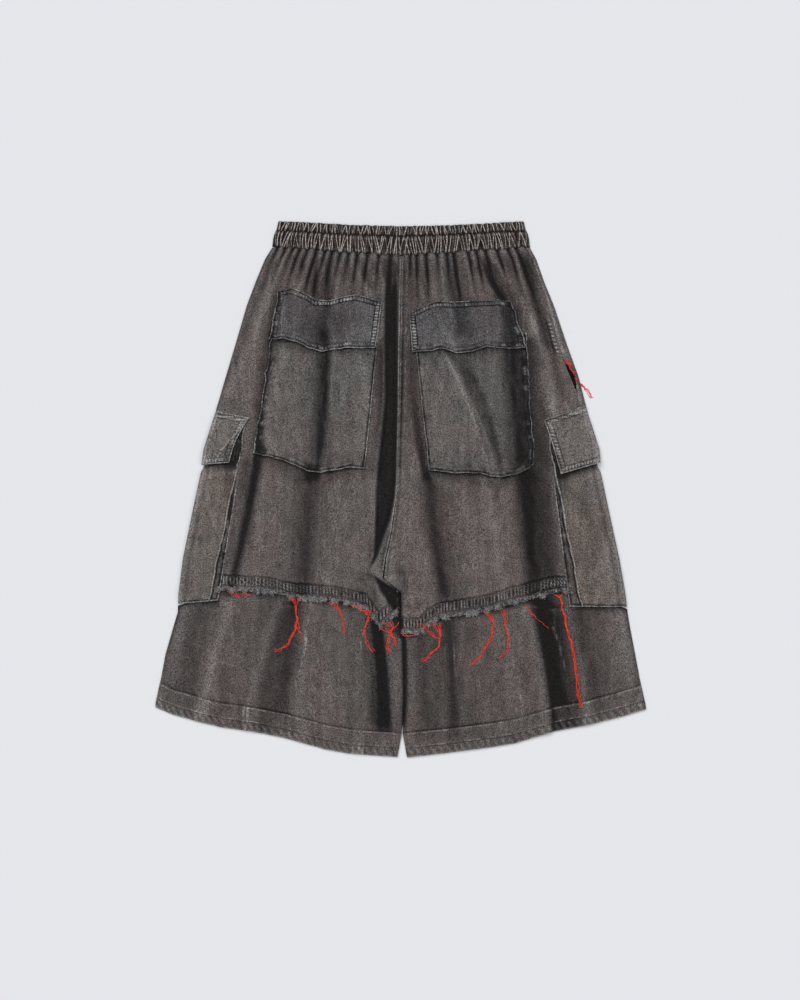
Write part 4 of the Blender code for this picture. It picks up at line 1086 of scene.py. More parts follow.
def twill(name, base, pale, deep):
    """Washed twill: salt-and-pepper grain, uneven dye, crease lines, worn edges, painted highlights and
    painted shade in the folds.
    """
    constants = {"Roughness": 0.93, "Specular IOR Level": 0.12, "Sheen Weight": 0.06, "Sheen Roughness": 0.6}
    made, tree, shader = blank_look(name, constants)
    where = add(tree, "TexCoord", {}).outputs["Object"]

    def cast(scale, detail, low, high, *rest, stretch=None):
        return ramp(tree, noise_node(tree, where, scale, detail, stretch), low, high, *rest)

    brown, olive = tinted(base, (1.05, 0.99, 0.96)), tinted(base, (0.96, 0.995, 0.965))
    colour = mix(tree, "MIX", cast(11, 3, 0.4, 0.6), olive, brown)
    # columns: scale, detail, stretch, share, darkest, palest
    for scale, detail, stretch, share, darkest, palest in (
        (1.0, 3, (140, 17, 60), 0.5, (0.62, 0.62, 0.63), (1.36, 1.36, 1.35)),
        (60, 4, None, 0.45, (0.6, 0.6, 0.61), (1.38, 1.37, 1.36)),
    ):
        field = cast(scale, detail, 0.25, 0.75, stretch=stretch)
        colour = multiplied(tree, share, colour, field, darkest, palest)
    # painted shade takes the colour towards the colour deep in a fold
    painted_shade = attribute(tree, "painted_shade")
    colour = mix(tree, "MIX", painted_shade, colour, deep)
    # wear and painted highlights take the colour towards the pale one
    wear_and_highlight = attribute(tree, "wear_and_highlight")
    rough_wear_and_highlight = math_node(tree, "MULTIPLY", wear_and_highlight, cast(420, 2, 0.3, 0.6, 0.6, 1.2))
    colour = mix(tree, "MIX", ramp(tree, rough_wear_and_highlight, 0.0, 1.1, 0.0, 0.9), colour, pale)
    # fine pale crease lines, fewer where there is painted shade
    line = noise_node(tree, where, 1.0, 2, (75, 26, 40))
    off_line = math_node(tree, "ABSOLUTE", math_node(tree, "SUBTRACT", line, 0.5), 0)
    thin = ramp(tree, off_line, 0.0, 0.022, 1.0, 0.0)
    some = cast(24, 2, 0.5, 0.72, 0.0, 0.32)
    lines = math_node(tree, "MULTIPLY", thin, some)
    lines = math_node(tree, "MULTIPLY", lines, ramp(tree, painted_shade, 0.2, 0.6, 1.0, 0.0))
    colour = mix(tree, "MIX", lines, colour, pale)
    grain = noise_node(tree, where, 1.0, 1, (820, 640, 700), 0.9)
    colour = multiplied(tree, 1.0, colour, ramp(tree, grain, 0.32, 0.68), (0.36,) * 3, (1.72,) * 3)
    fill(tree, shader.inputs["Base Color"], colour)
    diagonal = {"Scale": 330, "Distortion": 1.5, "Vector": where}
    weave = add(tree, "TexWave", diagonal, wave_type="BANDS", bands_direction="DIAGONAL").outputs["Fac"]
    fine = bump(tree, mix(tree, "MIX", 0.5, grain, weave), 0.5, 0.0005)
    creases = noise_node(tree, where, 1.0, 3, (95, 38, 60))
    fill(tree, shader.inputs["Normal"], bump(tree, creases, 0.6, 0.002, Normal=fine))
    return made


def thread_look(name, colour, vary, cell=260):
    """Thread: a colour that varies along it, and a fine bump."""
    made, tree, shader = blank_look(name, {"Roughness": 0.8, "Specular IOR Level": 0.2})
    where = add(tree, "TexCoord", {}).outputs["Object"]
    cloud = ramp(tree, noise_node(tree, where, cell, 2), 0.3, 0.7)
    low, high = (tinted(colour, (f,) * 3) for f in (1 - vary, 1 + vary))
    fill(tree, shader.inputs["Base Color"], mix(tree, "MIX", cloud, low, high))
    fill(tree, shader.inputs["Normal"], bump(tree, noise_node(tree, where, 2200, 1), 0.4, 0.0002))
    return made


# Twill's dyed colour, the pale colour of its wear and painted highlights, and the colour of painted shade
# deep in a fold.
TWILL = twill("twill", (0.115, 0.0995, 0.096), (0.29, 0.275, 0.27), (0.0105, 0.0082, 0.0086))
# Copies of the twill for the pockets, flaps, cargo pieces and band: their lighter and darker colours are
# partly painted light and shade, partly the cloth's own.
POCKET = twill("pocket_twill", (0.114, 0.105, 0.103), (0.31, 0.30, 0.292), (0.0105, 0.009, 0.0095))
FLAP = twill("flap_twill", (0.086, 0.081, 0.087), (0.31, 0.30, 0.293), (0.0095, 0.0085, 0.0095))
SIDE = twill("side_twill", (0.125, 0.108, 0.100), (0.32, 0.305, 0.30), (0.012, 0.0100, 0.0100))
BAND = twill("band_twill", (0.036, 0.0287, 0.0262), (0.43, 0.38, 0.352), (0.009, 0.0065, 0.006))
STITCH = thread_look("stitch_thread", (0.016, 0.014, 0.015), 0.4)
FRAY = thread_look("fray_fibre", (0.25, 0.245, 0.243), 0.9, 700)
RED = thread_look("red_thread", (0.74, 0.062, 0.036), 0.3, 300)


def waistband():
    """The gathered ring: ruffle, groove and elastic channel on the near face."""
    near, far = 600, 20
    share, back = np.linspace(0, 1, near), np.linspace(0, 1, far)
    part = stretches((0, 1, 24), (1, 2, 14))
    grid = np.zeros((len(part), near + far + 6, 3))
    painted_shade, wear_and_highlight = np.zeros(grid.shape[:2]), np.zeros(grid.shape[:2])
    for r, p in enumerate(part):
        stand, crimp, ends_in = (along(BAND_PROFILE, 0, k, p) for k in (1, 2, 3))
        x = between(*BAND_ENDS, share) + ends_in * (1 - 2 * share)
        foot, groove, top = (along(WAIST, 0, k, x) for k in (1, 2, 3))
        foot = foot + SEAM_GAP + 1.9 * (wave(x, 10, 30) - 0.5) * past(1 - p)
        v, row = (p, BAND_PLEATS[0]) if p <= 1 else (p - 1, BAND_PLEATS[1])
        ridge, which = pleats(share, v, *row[:3])
        line, twin = pleats(share, v, *row[3:6], 0.42)
        lee, _ = pleats(share - row[6], v, *row[3:6], 0.6)
        groove = groove + 0.8 * (wave(x, 6, 31) - 0.5)
        top = top + (1.1 * ridge - 0.4) * past(p - 1) * 0.7
        y = foot + (groove - foot) * min(p, 1) + (top - groove) * past(p - 1)
        ends = rolled(np.minimum(share, 1 - share) / 0.02)
        high = stand - 2.6 + BAND_GATHER * crimp * (0.75 * ridge + 0.35 * line)
        over = BAND_CLOTH * 2 + 0.9 + high * ends
        seam = bell(p - 1.0, 0.05) + 0.8 * bell(p, 0.06)
        # painted shade between the broad pleats and beside the fine ones, varied pleat by pleat, and along
        # the groove and the band's foot
        shade = 0.95 * smooth((0.45 - ridge) / 0.34) + 0.85 * smooth((lee - 0.25) / 0.3)
        shade += 0.5 * (wave(which * 1.7, 1.0, 36) - 0.5) + 0.4 * (p > 1) * smooth((0.55 - ridge) / 0.3)
        painted_shade[r, :near] = np.maximum(shade, seam * (0.4 + 0.8 * wave(x, 4, 29)))
        # painted highlight on the fine pleats' crests, less on the groove and the foot
        pleat_highlight = 1.3 * smooth((line - 0.38) / 0.3) * (0.3 + 0.8 * noise(twin * 2.3, y, 1.0, 9, 37))
        wear_and_highlight[r, :near] = pleat_highlight * (1 - 0.8 * min(seam, 1))
        xb = between(x[-1], x[0], back)
        under = np.stack([xb * (1 - 1.2 / 169), np.interp(xb, x, y), np.zeros(far)], axis=1)
        turns = []
        for end, s in ((-1, 1), (0, -1)):
            bulge = ((0.9, 0.8), (1.3, 0.5), (0.9, 0.2))
            arc = [(x[end] + s * out, y[end], over[end] * up) for out, up in bulge]
            turns.append(arc[::s])
        grid[r] = np.concatenate([np.stack([x, y, over], axis=1), turns[0], under, turns[1]])
    wear_and_highlight[-2:, :near] += 0.15
    made = cloth("waistband", grid, 1.8, BAND, wear_and_highlight, painted_shade, True, True)


def patch_shade(x, y, names):
    """Shade on the cloth beside the pieces sewn on it."""
    painted_shade = np.zeros(np.shape(x))
    for name, left, right, foot, reach in SHADES:
        if name not in names:
            continue
        _, ax, ay, bx, by, cx, cy, dx, dy = row_of(PATCHES, name)
        edges = [r[1:] for r in EDGES if r[0] == name]
        share = np.clip((x - cx) / (dx - cx), 0, 1)
        y_foot = cy + (dy - cy) * share + along(edges, 0, 2, share)
        x_left = np.interp(y, (cy, ay), (cx, ax))
        x_right = np.interp(y, (dy, by), (dx, bx))
        beside = smooth((ay - y) / 5) * smooth((y - min(cy, dy) + 4) / 4)
        wobble = 0.55 + 0.9 * wave(y, 13, 55)
        within = smooth((x - x_left + 2) / 3) * smooth((x_right + 2 - x) / 3)
        for level, off, fade, where in (
            (left, x_left - x, 3.0 * wobble, beside),
            (right, x - x_right, 2.2 * wobble, beside),
            (foot, y_foot - y, reach * (0.6 + 0.7 * wave(x, 17, 56)), within),
        ):
            out = past(off) / fade
            shade = np.maximum(bell(out, 0.55), 0.62 * bell(out, 1.5))
            painted_shade = np.maximum(painted_shade, level * where * shade * (off > -4))
    return painted_shade


FLAT_SHARES = steps([0, 0.01, 0.03], 34, [0.98, 1.0])  # places across the plain under leaves


def leg_back(side, tag):
    """The upper back of one leg: gathered into the band, cut raw at its foot."""
    shares = steps([0, 0.0012, 0.003, 0.006, 0.010, 0.016, 0.023], 130, [0.9, 1.0])
    shares = np.concatenate([shares[:-1], np.linspace(0.9, 1, 26)[1:]])
    drawn_in = (lambda y: strip_width(y) + 0.6) if side > 0 else 0.0
    rows = stretches((0, 0.05, 16), (0.05, 0.93, 156), (0.93, 1, 42))
    back = leg_grid(side, shares, rows, band_foot, left_edge if side < 0 else raw_edge, drawn_in)
    back[-1, :, 1] += 1.8 * (wave(back[-1, :, 0], 2.6, 40) - 0.5)
    x, y = back[..., 0], back[..., 1]
    back[..., 2] = upper_height(side, x, y)
    down = back[:1, :, 1] - y
    # gathers that die away below the band, each with its own length
    lane = shares[None, :] + 0.012 * (noise(x, y, 22, 40, 41) - 0.5) * smooth(down / 12) + 0 * y
    slits, ridge = gathers(side, lane, down, np.abs(x[:, -1:] - x[:, :1]))
    gather = bell(past(down), 26 + 30 * wave(lane * 40, 3, 43), 1.5)
    ends = smooth((shares - 0.01) / 0.02) * smooth((1.0 - shares) / 0.02)
    back[..., 2] += ends * (2.6 * gather * (ridge - 0.6) - 1.4 * slits)
    back[..., 2] -= 1.6 * bell(down, 2.0)
    # the gathers' rounded tops reach up over the band's lower edge
    back[..., 1] += (3.4 * np.sqrt(ridge) + 0.5) * bell(down, 5) * ends
    # pucker along the centre back seam, and the flat seam above the raw edge
    mid = from_seam(side, y, x)
    above_crotch = smooth((y + 118) / 20)
    back[..., 2] += 0.7 * bell(mid, 5.5) * above_crotch * (wave(y, 5.5, 44) - 0.5)
    foot = y - back[-1:, :, 1]
    ladder = bell(foot - LADDER, 5.6, 4)
    rung = smooth((np.cos(2 * np.pi * x / RUNG + 2.6 * wave(x, 11, 45)) + 0.35) / 1.1)
    back[..., 2] += ladder * (0.9 * rung - 0.5)
    back[..., 2] -= 0.9 * bell(foot - 20.5, 1.6) + 0.9 * bell(foot - 7.0, 1.5)
    back[..., 2] += 1.5 * bell(foot, 4.5) * (noise(x, y, 5, 4, 46) - 0.2)
    fold_painted_shade, fold_highlight_and_wear = fold_paint(x, y)
    # painted shade: in the troughs, in the gathers' slits and below the band, between the ladder's rungs and
    # along its stitch line, along the raw edge, in the deep fold, in the crotch hollow and beside the pieces
    # sewn on
    top_shade = 0.42 * bell(past(down), 46, 1.6)
    painted_shade = 1 - (1 - fold_painted_shade * smooth((foot + 4) / 14)) * (1 - 0.88 * slits * ends) * (1 - top_shade)
    painted_shade += ladder * (0.12 + 0.72 * (1 - rung)) + 0.5 * bell(foot - 20.3, 1.3)
    painted_shade += bell(foot, 6.0, 4) * (0.45 + 0.55 * smooth((0.62 - noise(x, y, 2.3, 2.1, 57)) / 0.3))
    painted_shade += 0.9 * bell(down, 3.0) * smooth((0.5 - ridge) / 0.4)
    pits = np.maximum(deep_shade(x, y), crotch_shade(x, y) * (side < 0))
    for shade in (0.97 * deep_shade(x, y), crotch_shade(x, y) * (side < 0)):
        painted_shade = np.maximum(painted_shade, shade)
    painted_shade = np.maximum(painted_shade, patch_shade(x, y, ["pocket_flap_" + tag, "pocket_bag_" + tag]))
    # wear and painted highlight: the folds' pale ridges and crest lines, paler towards the sides, painted
    # highlight on the gathers' crests below the band and on the ladder's rungs, and pale frayed fibres along
    # the raw edge
    wear_and_highlight = fold_highlight_and_wear + 0.11 * smooth((np.abs(x) - 150) / 90)
    wear_and_highlight += 0.16 * bell(past(down), 16) * smooth((ridge - 0.7) / 0.25)
    wear_and_highlight += ladder * rung * (0.1 + 0.4 * noise(x, y, 5, 9, 58))
    wear_and_highlight += 0.6 * bell(foot, 6.0, 4) * smooth((noise(x, y, 2.0, 1.8, 59) - 0.55) / 0.2)
    # painted highlight along the centre seam's ridge, painted shade beside it
    seam_run = wave(y, 3.0, 47)
    wear_and_highlight += 0.75 * bell(mid - 1.0, 0.9) * (0.35 + 0.65 * seam_run) * above_crotch
    painted_shade += 0.5 * bell(mid - 3.6, 1.2) * (1 - 0.6 * seam_run) * above_crotch
    if side > 0:
        # the second seam line, and the stitched edge beside the side pocket, in painted highlight and
        # painted shade
        wear_and_highlight += 0.6 * bell(mid - 7.6, 0.9) * seam_run * above_crotch
        off = x - (side_x(1, y) - strip_width(y))
        dots = smooth(np.cos(2 * np.pi * y / 5.2) + 0.3)
        zone = smooth((228 - y) / 12) * smooth((y - 176) / 8)
        wear_and_highlight += 0.5 * bell(off, 1.4) * smooth((262 - y) / 20) * smooth((y - 105) / 10)
        wear_and_highlight += zone * 0.75 * dots * bell(off + 5, 2.2)
        painted_shade += zone * (0.8 * bell(off + 9.2, 1.1) + 0.6 * (1 - dots) * bell(off + 5, 2.5))
    wear_and_highlight = wear_and_highlight * (1 - 0.85 * np.clip(pits, 0, 1))
    made = cloth("back_" + tag, back, CLOTH, TWILL, wear_and_highlight, painted_shade, flip=side > 0)
    lowest = int(np.argmin(np.abs(back[:, -1, 1] + 116)))
    for d in (2.6,) if side < 0 else (1.6, 8.2):
        stitch_run(line_down(back, d, 2, lowest, True), seed=3, width=0.45)
    for d in RAW_SEAMS:
        stitch_run(line_across(back, d), pitch=2.9, width=0.7, seed=5)
    top_line, low_line = line_across(back, 18.0), line_across(back, 8.6)
    keys = range(len(top_line))
    rungs = int(abs(top_line[-1, 0] - top_line[0, 0]) / RUNG)
    for k in range(rungs):
        c = (k + 0.5) / rungs * (len(keys) - 1)
        a, b = on_line(top_line, keys, c), on_line(low_line, keys, c)
        STITCHES.append(((a + b) / 2, (b - a) * 0.45, 0.8))
    frays(side, tag, back)
    return back


def leg_front(side, tag):
    """The upper front of one leg: flat underneath, raised over the cargo pocket's leaf."""
    rows = np.linspace(0, 1, 86)
    front = leg_grid(side, FLAT_SHARES, rows, band_foot, raw_edge, CORNER if side > 0 else 1.2, True)
    x, y = front[..., 0], front[..., 1]
    out = np.abs(x - side_x(side, y))
    front[..., 2] = leaf_lift(side, x, y) + np.clip(crumple(x, y, 15), 0, 0.6) * smooth((out - 8) / 12)
    # painted shade in the side pocket's slot and between the legs
    shade = smooth((24 - out) / 4) * smooth((168 - y) / 6) * smooth((y - 124) / 6)
    shade = np.maximum(shade, smooth((14 - np.abs(x + 2)) / 6) * smooth((-100 - y) / 8))
    wear_and_highlight = 0
    if side > 0:
        front = wrap(front[:, ::-1], strip_grid(rows), side)
        wear_and_highlight = np.zeros(front.shape[:2])
        wear_and_highlight[:, -3:] = 0.7 * wave(front[:, -3:, 1], 3, 49)
        shade = np.pad(shade[:, ::-1], ((0, 0), (0, front.shape[1] - shade.shape[1])))
    made = cloth("front_" + tag, front, CLOTH, TWILL, wear_and_highlight, shade, flip=True)
    if side > 0:
        beside_slot = np.arange(14.0, 46)
        stitch_run(at(front, beside_slot, np.full(len(beside_slot), front.shape[1] - 2.2)), seed=8)


def tier_back(side, tag):
    """The lower tier's back: tucked under the raw edge, with a roped hem."""
    shares = steps([0, 0.0012, 0.003, 0.006, 0.012, 0.02], 112, [0.97, 1.0])
    shares = np.concatenate([shares[:-2], np.linspace(shares[-3], 1, 10)[1:]])
    rows = np.concatenate([np.linspace(0, 0.832, 92), np.linspace(0.838, 1, 38)])
    tier = leg_grid(side, shares, rows, tier_top, hem_y(side), tuck(side))
    x, y = tier[..., 0], tier[..., 1]
    tier[..., 2] = tier_height(side, x, y)
    up = y - tier[-1:, :, 1]
    band = smooth((HEM_TALL + 1.2 - up) / 1.4)
    rope = 0.5 + 0.5 * np.cos(2 * np.pi * (x + 0.5 * up) / 9.5 + 5 * noise(x, up, 34, 50, 50))
    tier[..., 2] += band * 0.9 + 0.5 * rope * bell(up - 6, 8)
    tier[..., 2] += 0.6 * (noise(x, up, 5, 40, 51) - 0.5) * bell(up - HEM_TALL, 7)
    tier[..., 2] -= 0.35 * bell(up - 11.5, 1.2) + 0.5 * bell(up - HEM_TALL, 1.0)
    seam = np.zeros(x.shape)
    for px in (-206.5, -53.5) if side < 0 else ():
        two = bell(np.abs(x - (px + 0.1 * (up - 15))) - 2.6, 0.9)
        seam = np.maximum(seam, two * band * (0.5 + 0.5 * noise(x, y, 3, 3, 54)))
    tier[..., 2] = np.maximum(tier[..., 2] + 0.5 * seam, 3.6)
    fold_painted_shade, fold_highlight_and_wear = fold_paint(x, y, True)
    # painted shade in the troughs, just above the hem's top edge, on its stitch line and between the rope's
    # twists; the whole tier a little darker
    painted_shade = fold_painted_shade * (1 - 0.3 * band) + 0.09
    painted_shade += 0.75 * bell(up - HEM_TALL - 1.6, 1.0) * (0.5 + 0.5 * noise(x, up, 4, 9, 61))
    painted_shade += 0.4 * bell(up - 12.0, 1.0) + 0.25 * bell(up - 6, 5, 4) * (1 - rope)
    # painted shadow under the upper leg's raw edge and under the cargo bag's foot, painted shade in the
    # crotch slot and between the legs
    under_edge = raw_edge(x) - y
    edge_shade = 0.92 * bell(past(under_edge), 4 + 5 * wave(x, 12, 62)) * smooth((under_edge + 6) / 4)
    _, _, _, _, foot_in, y_in, _, y_out = row_of(CARGO, "cargo_bag_" + tag)
    ends = sorted((side * foot_in, side * side_x(side, LEG_FOOT[0])))
    bag_shade = 0.93 * smooth((side * x - side * foot_in + 3) / 4)
    bag_shade = bag_shade * bell(past(np.interp(side * x, ends, (y_in, y_out)) - y), 8)
    seam_shade = 0.6 * bell(x - inner_x(side, y), 2.2) * smooth((y + 320) / 12)
    for shade in (edge_shade, crotch_shade(x, y), bag_shade, seam_shade):
        painted_shade = np.maximum(painted_shade, shade)
    for px, strength, seed in HEM_CREASES:
        crease = px - px * 0.2 * up / 170 + 5 * (noise(x * 0, up, 1, 40, 84 + seed) - 0.5)
        there = smooth((noise(x * 0 + px, up, 1, 30, 86 + seed) - 0.3) / 0.3)
        fold_highlight_and_wear = fold_highlight_and_wear + 0.42 * there * bell(x - crease, 0.9) * strength
    # wear and painted highlight: pale ridges and crease lines, the vertical seams, the hem's folded edges
    # and stitch line, painted highlight on the rope's twists, paler towards the sides
    wear_and_highlight = fold_highlight_and_wear + 0.65 * seam
    wear_and_highlight += 0.85 * bell(up, 1.5) * (0.4 + 0.7 * noise(x, up, 3, 9, 52))
    wear_and_highlight += 0.22 * rope * bell(up - 6, 4.5)
    wear_and_highlight += 0.8 * bell(up - 12.9, 0.9) * noise(x, up, 5, 9, 63)
    wear_and_highlight += 0.7 * bell(up - HEM_TALL + 0.6, 1.0) * noise(x, up, 3.5, 9, 53)
    wear_and_highlight += 0.14 * smooth((np.abs(x) - 210) / 80)
    made = cloth("tier_back_" + tag, tier, CLOTH, TWILL, wear_and_highlight, painted_shade, flip=side > 0)
    # columns: distance up from the hem, a stitch's length, width, seed
    for d, length, width, seed in ((HEM_TALL - 2, 1.9, 0.5, 28), (11.8, 1.7, 0.4, 29)):
        stitch_run(line_across(tier, d), pitch=3.6, length=length, width=width, seed=seed)
    return tier


def tier_front(side, tag):
    """The lower tier's front: a flat leaf, raised over the upper front's edge."""
    low = leg_grid(side, FLAT_SHARES, np.linspace(0, 1, 46), tier_top, hem_y(side), tuck(side, 1.2), True)
    x, y = low[..., 0], low[..., 1]
    over_front = smooth((y - raw_edge(x) + 7) / 8)
    crease = np.clip(crumple(x, y, 25), 0, 0.5) * (1 - over_front)
    low[..., 2] = leaf_lift(side, x, y) + (CLOTH + SEAM_GAP + 0.6) * over_front + crease
    # painted shade between the legs
    shade = smooth((14 - np.abs(x + 2)) / 6) * smooth((y + 320) / 12)
    made = cloth("tier_front_" + tag, low, CLOTH, TWILL, 0, shade, flip=side < 0)


def strip_grid(rows):
    """The right front's strip outside the seam, notched where the side pocket opens."""
    cols = np.linspace(0, 1, 7)
    place = np.repeat(leg_grid(1, np.array([0.0]), rows, band_foot, raw_edge), len(cols), axis=1)
    width, slot = (along(STRIP, 0, k, place[:, 0, 1]) for k in (1, 2))
    for c, t in enumerate(cols):
        place[:, c, 0] -= 1.2 + (width - slot - 1.2) * t
    place[..., 2] = upper_height(1, place[..., 0], place[..., 1]) - 0.8 * smooth(slot / 4)[:, None]
    return place


def wrap(under, over, side):
    """Joins an under leaf and a top leaf round the side."""
    low, high = under[:, -1], over[:, 0]
    x_side = low[:, 0] + side * CORNER
    turn = []
    for a in np.radians((-75, -45, -15, 15, 45)):
        bend = low + (high - low) * (0.5 + 0.5 * np.sin(a))
        bend[:, 0] = x_side - side * CORNER * (1 - np.cos(a))
        turn.append(bend)
    return np.concatenate([under, np.stack(turn, axis=1), over], axis=1)


def flap_foot_line(side, tag):
    """Foot line of the cargo flap on this side."""
    _, _, _, _, x_in, y_in, _, y_out = row_of(CARGO, "cargo_flap_" + tag)
    return lambda x: np.interp(side * x, [side * x_in, side * half(OUTLINE, side, y_out)], [y_in, y_out])


def cargo(kind, side, tag):
    """A cargo pocket or its flap, wrapped round the side."""
    name, flap = "cargo_%s_%s" % (kind, tag), kind == "flap"
    _, _, ix0, iy0, ix1, iy1, oy0, oy1 = row_of(CARGO, name)
    oy0 -= 4.5 if flap and side < 0 else 0
    if flap:
        rows = stretches((0, 0.16, 18), (0.16, 0.84, 36), (0.84, 1, 20))
    else:
        rows = stretches((0, 0.95, 122), (0.95, 1, 16))
    reach = np.array([WRAP_UNDER, 50, 38, 28, 20, 14, 9, 6, CORNER])
    t = np.concatenate([[0.02, 0.05], stretches((0.1, 0.72, 30), (0.72, 1, 40))])
    under = np.zeros((len(rows), len(reach), 3))
    over = np.zeros((len(rows), len(t), 3))
    for r, v in enumerate(rows):
        y_side, x_in = between(oy0, oy1, v), between(ix0, ix1, v)
        x_side = half(OUTLINE, side, y_side)
        if flap:
            x_in += side * 4.0 * np.sin(np.pi * v) * (1 if side < 0 else 0.3)
        else:
            x_side -= side * FLAP_STEP * smooth((y_side - 21) / 13)
        under[r, :, 0], under[r, :, 1] = x_side - side * reach, y_side
        over[r, :, 0] = between(x_side, x_in, t)
        over[r, :, 1] = between(y_side, between(iy0, iy1, v), t)
    x, y = over[..., 0], over[..., 1]
    v, u = np.meshgrid(rows, t, indexing="ij")
    base = np.maximum(upper_height(side, x, y), tier_height(side, x, y) + 1.0)
    near_in, near_foot, near_top = np.abs(x - x[:, -1:]), np.abs(y - y[-1:, :]), np.abs(y - y[:1, :])
    below_flap = flap_foot_line(side, tag)(x) - y
    near = np.minimum(near_in, near_foot)
    if flap:
        high = base + 2 * CLOTH + 1.7 + 2.4 * smooth(1 - near_foot / 26) - 0.6 * smooth(1 - near_top / 4)
        high += 0.8 * (noise(x, y, 16, 20, 60 + side) - 0.5) + 0.5 * crumple(x, y, 38)
        near = np.minimum(near, near_top)
    else:
        puff = smooth(near_in / 12) * smooth(near_foot / 10) * smooth((below_flap - 2) / 14)
        high = base + CLOTH + 0.5 + 2.4 * puff + 1.6 * (noise(x, y, 24, 60, 62 + side) - 0.35) * puff
        pleat = near_in - (11 if side < 0 else 14.5) * np.clip((v - 0.12) / 0.88, 0, 1) - 1.2
        pleat = pleat + 2.2 * (wave(y, 19, 85) - 0.5) + 1.4 * (wave(y, 7, 86) - 0.5)
        high -= 1.6 * smooth(-pleat / 2.0 + 0.3) + 0.8 * bell(pleat + 1.5, 1.3)
        high += 1.0 * crumple(x, y, 33) * smooth(below_flap / 8)
        under[..., 2] = (CLOTH + SEAM_GAP) * smooth((under[..., 1] - 28) / 8)
    run = np.where(near_in < near_foot, y, x)
    high = high + 0.8 * bell(near - 4.5, 4) * (wave(run, 5, 66) - 0.5)
    over[..., 2] = high - (0.4 * bell(near - EDGE_SEAM, 0.8) + 0.4 * bell(near - TWIN_SEAM, 1.0))
    ladder = 0.8 if flap else 0.0
    wear_and_highlight, painted_shade = (edge(near, run, 67 + side, ladder) for edge in (edge_wear_and_highlight, edge_painted_shade))
    wear_and_highlight += 0.12 * bell(np.abs(u - 0.15), 0.2) + 0.05 + 0.12 * smooth((noise(x, y, 16, 40, 88) - 0.5) / 0.3)
    painted_shade += 0.22 * smooth((noise(x, y, 14, 30, 89) - 0.5) / 0.3)
    if flap:
        wear_and_highlight += 0.08
        if side < 0:
            # the tip's fold back along a slant is only painted: painted shade past the fold line, painted
            # highlight along it
            tip = near_in - 17 * smooth((v - 0.1) / 0.9)
            painted_shade += 0.4 * smooth(-tip / 3) * smooth(near_in / 3) + 0.3 * bell(tip + 1.5, 1.5)
            wear_and_highlight += 0.35 * bell(tip - 1, 1.0)
    else:
        # painted shadow under the flap's foot, painted shade in the gusset's pleat and on its stitching,
        # painted highlight on the pleat's edge, patches of painted shade, and more just below the flap
        painted_shade = np.maximum(painted_shade, 0.93 * bell(past(below_flap), 9))
        wear_and_highlight = np.where(below_flap < 3, wear_and_highlight * 0.2, wear_and_highlight)
        gap = 0.45 + 0.5 * wave(y, 16, 69)
        painted_shade += (0.7 if side < 0 else 0.85) * smooth(-pleat / 1.5) * gap + 0.8 * bell(pleat + 1.5, 0.9)
        painted_shade += 0.6 * bell(pleat - 2.4, 0.7) * smooth(np.cos(2 * np.pi * y / 3.4) + 0.5)
        wear_and_highlight += bell(pleat - 0.5, 0.8) * (0.45 + 0.7 * wave(y, 3, 68))
        for spot_side, px, py, wide, tall, tone in BAG_SPOTS:
            if spot_side == side:
                painted_shade += tone * np.exp(-(((x - px) / wide) ** 2) - (((y - py) + 0.3 * (x - px)) / tall) ** 2)
        painted_shade += 0.4 * bell(14 - below_flap, 12) * smooth(1 - np.abs(near_in - 12) / 16)
    grid = wrap(under, over, side)
    extra = grid.shape[1] - over.shape[1]
    wear_and_highlight = np.concatenate([np.repeat(wear_and_highlight[:, :1], extra, axis=1) * 0.5, wear_and_highlight], axis=1)
    painted_shade = np.pad(painted_shade, ((0, 0), (extra, 0)))
    thick, flat, area = (FLAP_CLOTH - 0.4, (0.17, 0.095), 0.0105) if flap else (CLOTH, (0.17, 0.25), 0.032)
    made = cloth(name, grid, thick, SIDE, wear_and_highlight, painted_shade, flip=side > 0)
    last = grid.shape[1] - 1
    seams = (EDGE_SEAM, TWIN_SEAM) if flap else (EDGE_SEAM,)
    for d in seams:
        stitch_run(line_down(grid, d, 3, len(rows) - 3, True), seed=12, width=0.6)
    for d in seams:
        stitch_run(line_across(grid, d, extra, last), seed=13, width=0.6)
    for d in (1.6, 7.6) if flap else ():
        stitch_run(line_across(grid, d, extra, last, False), seed=14, width=0.6)


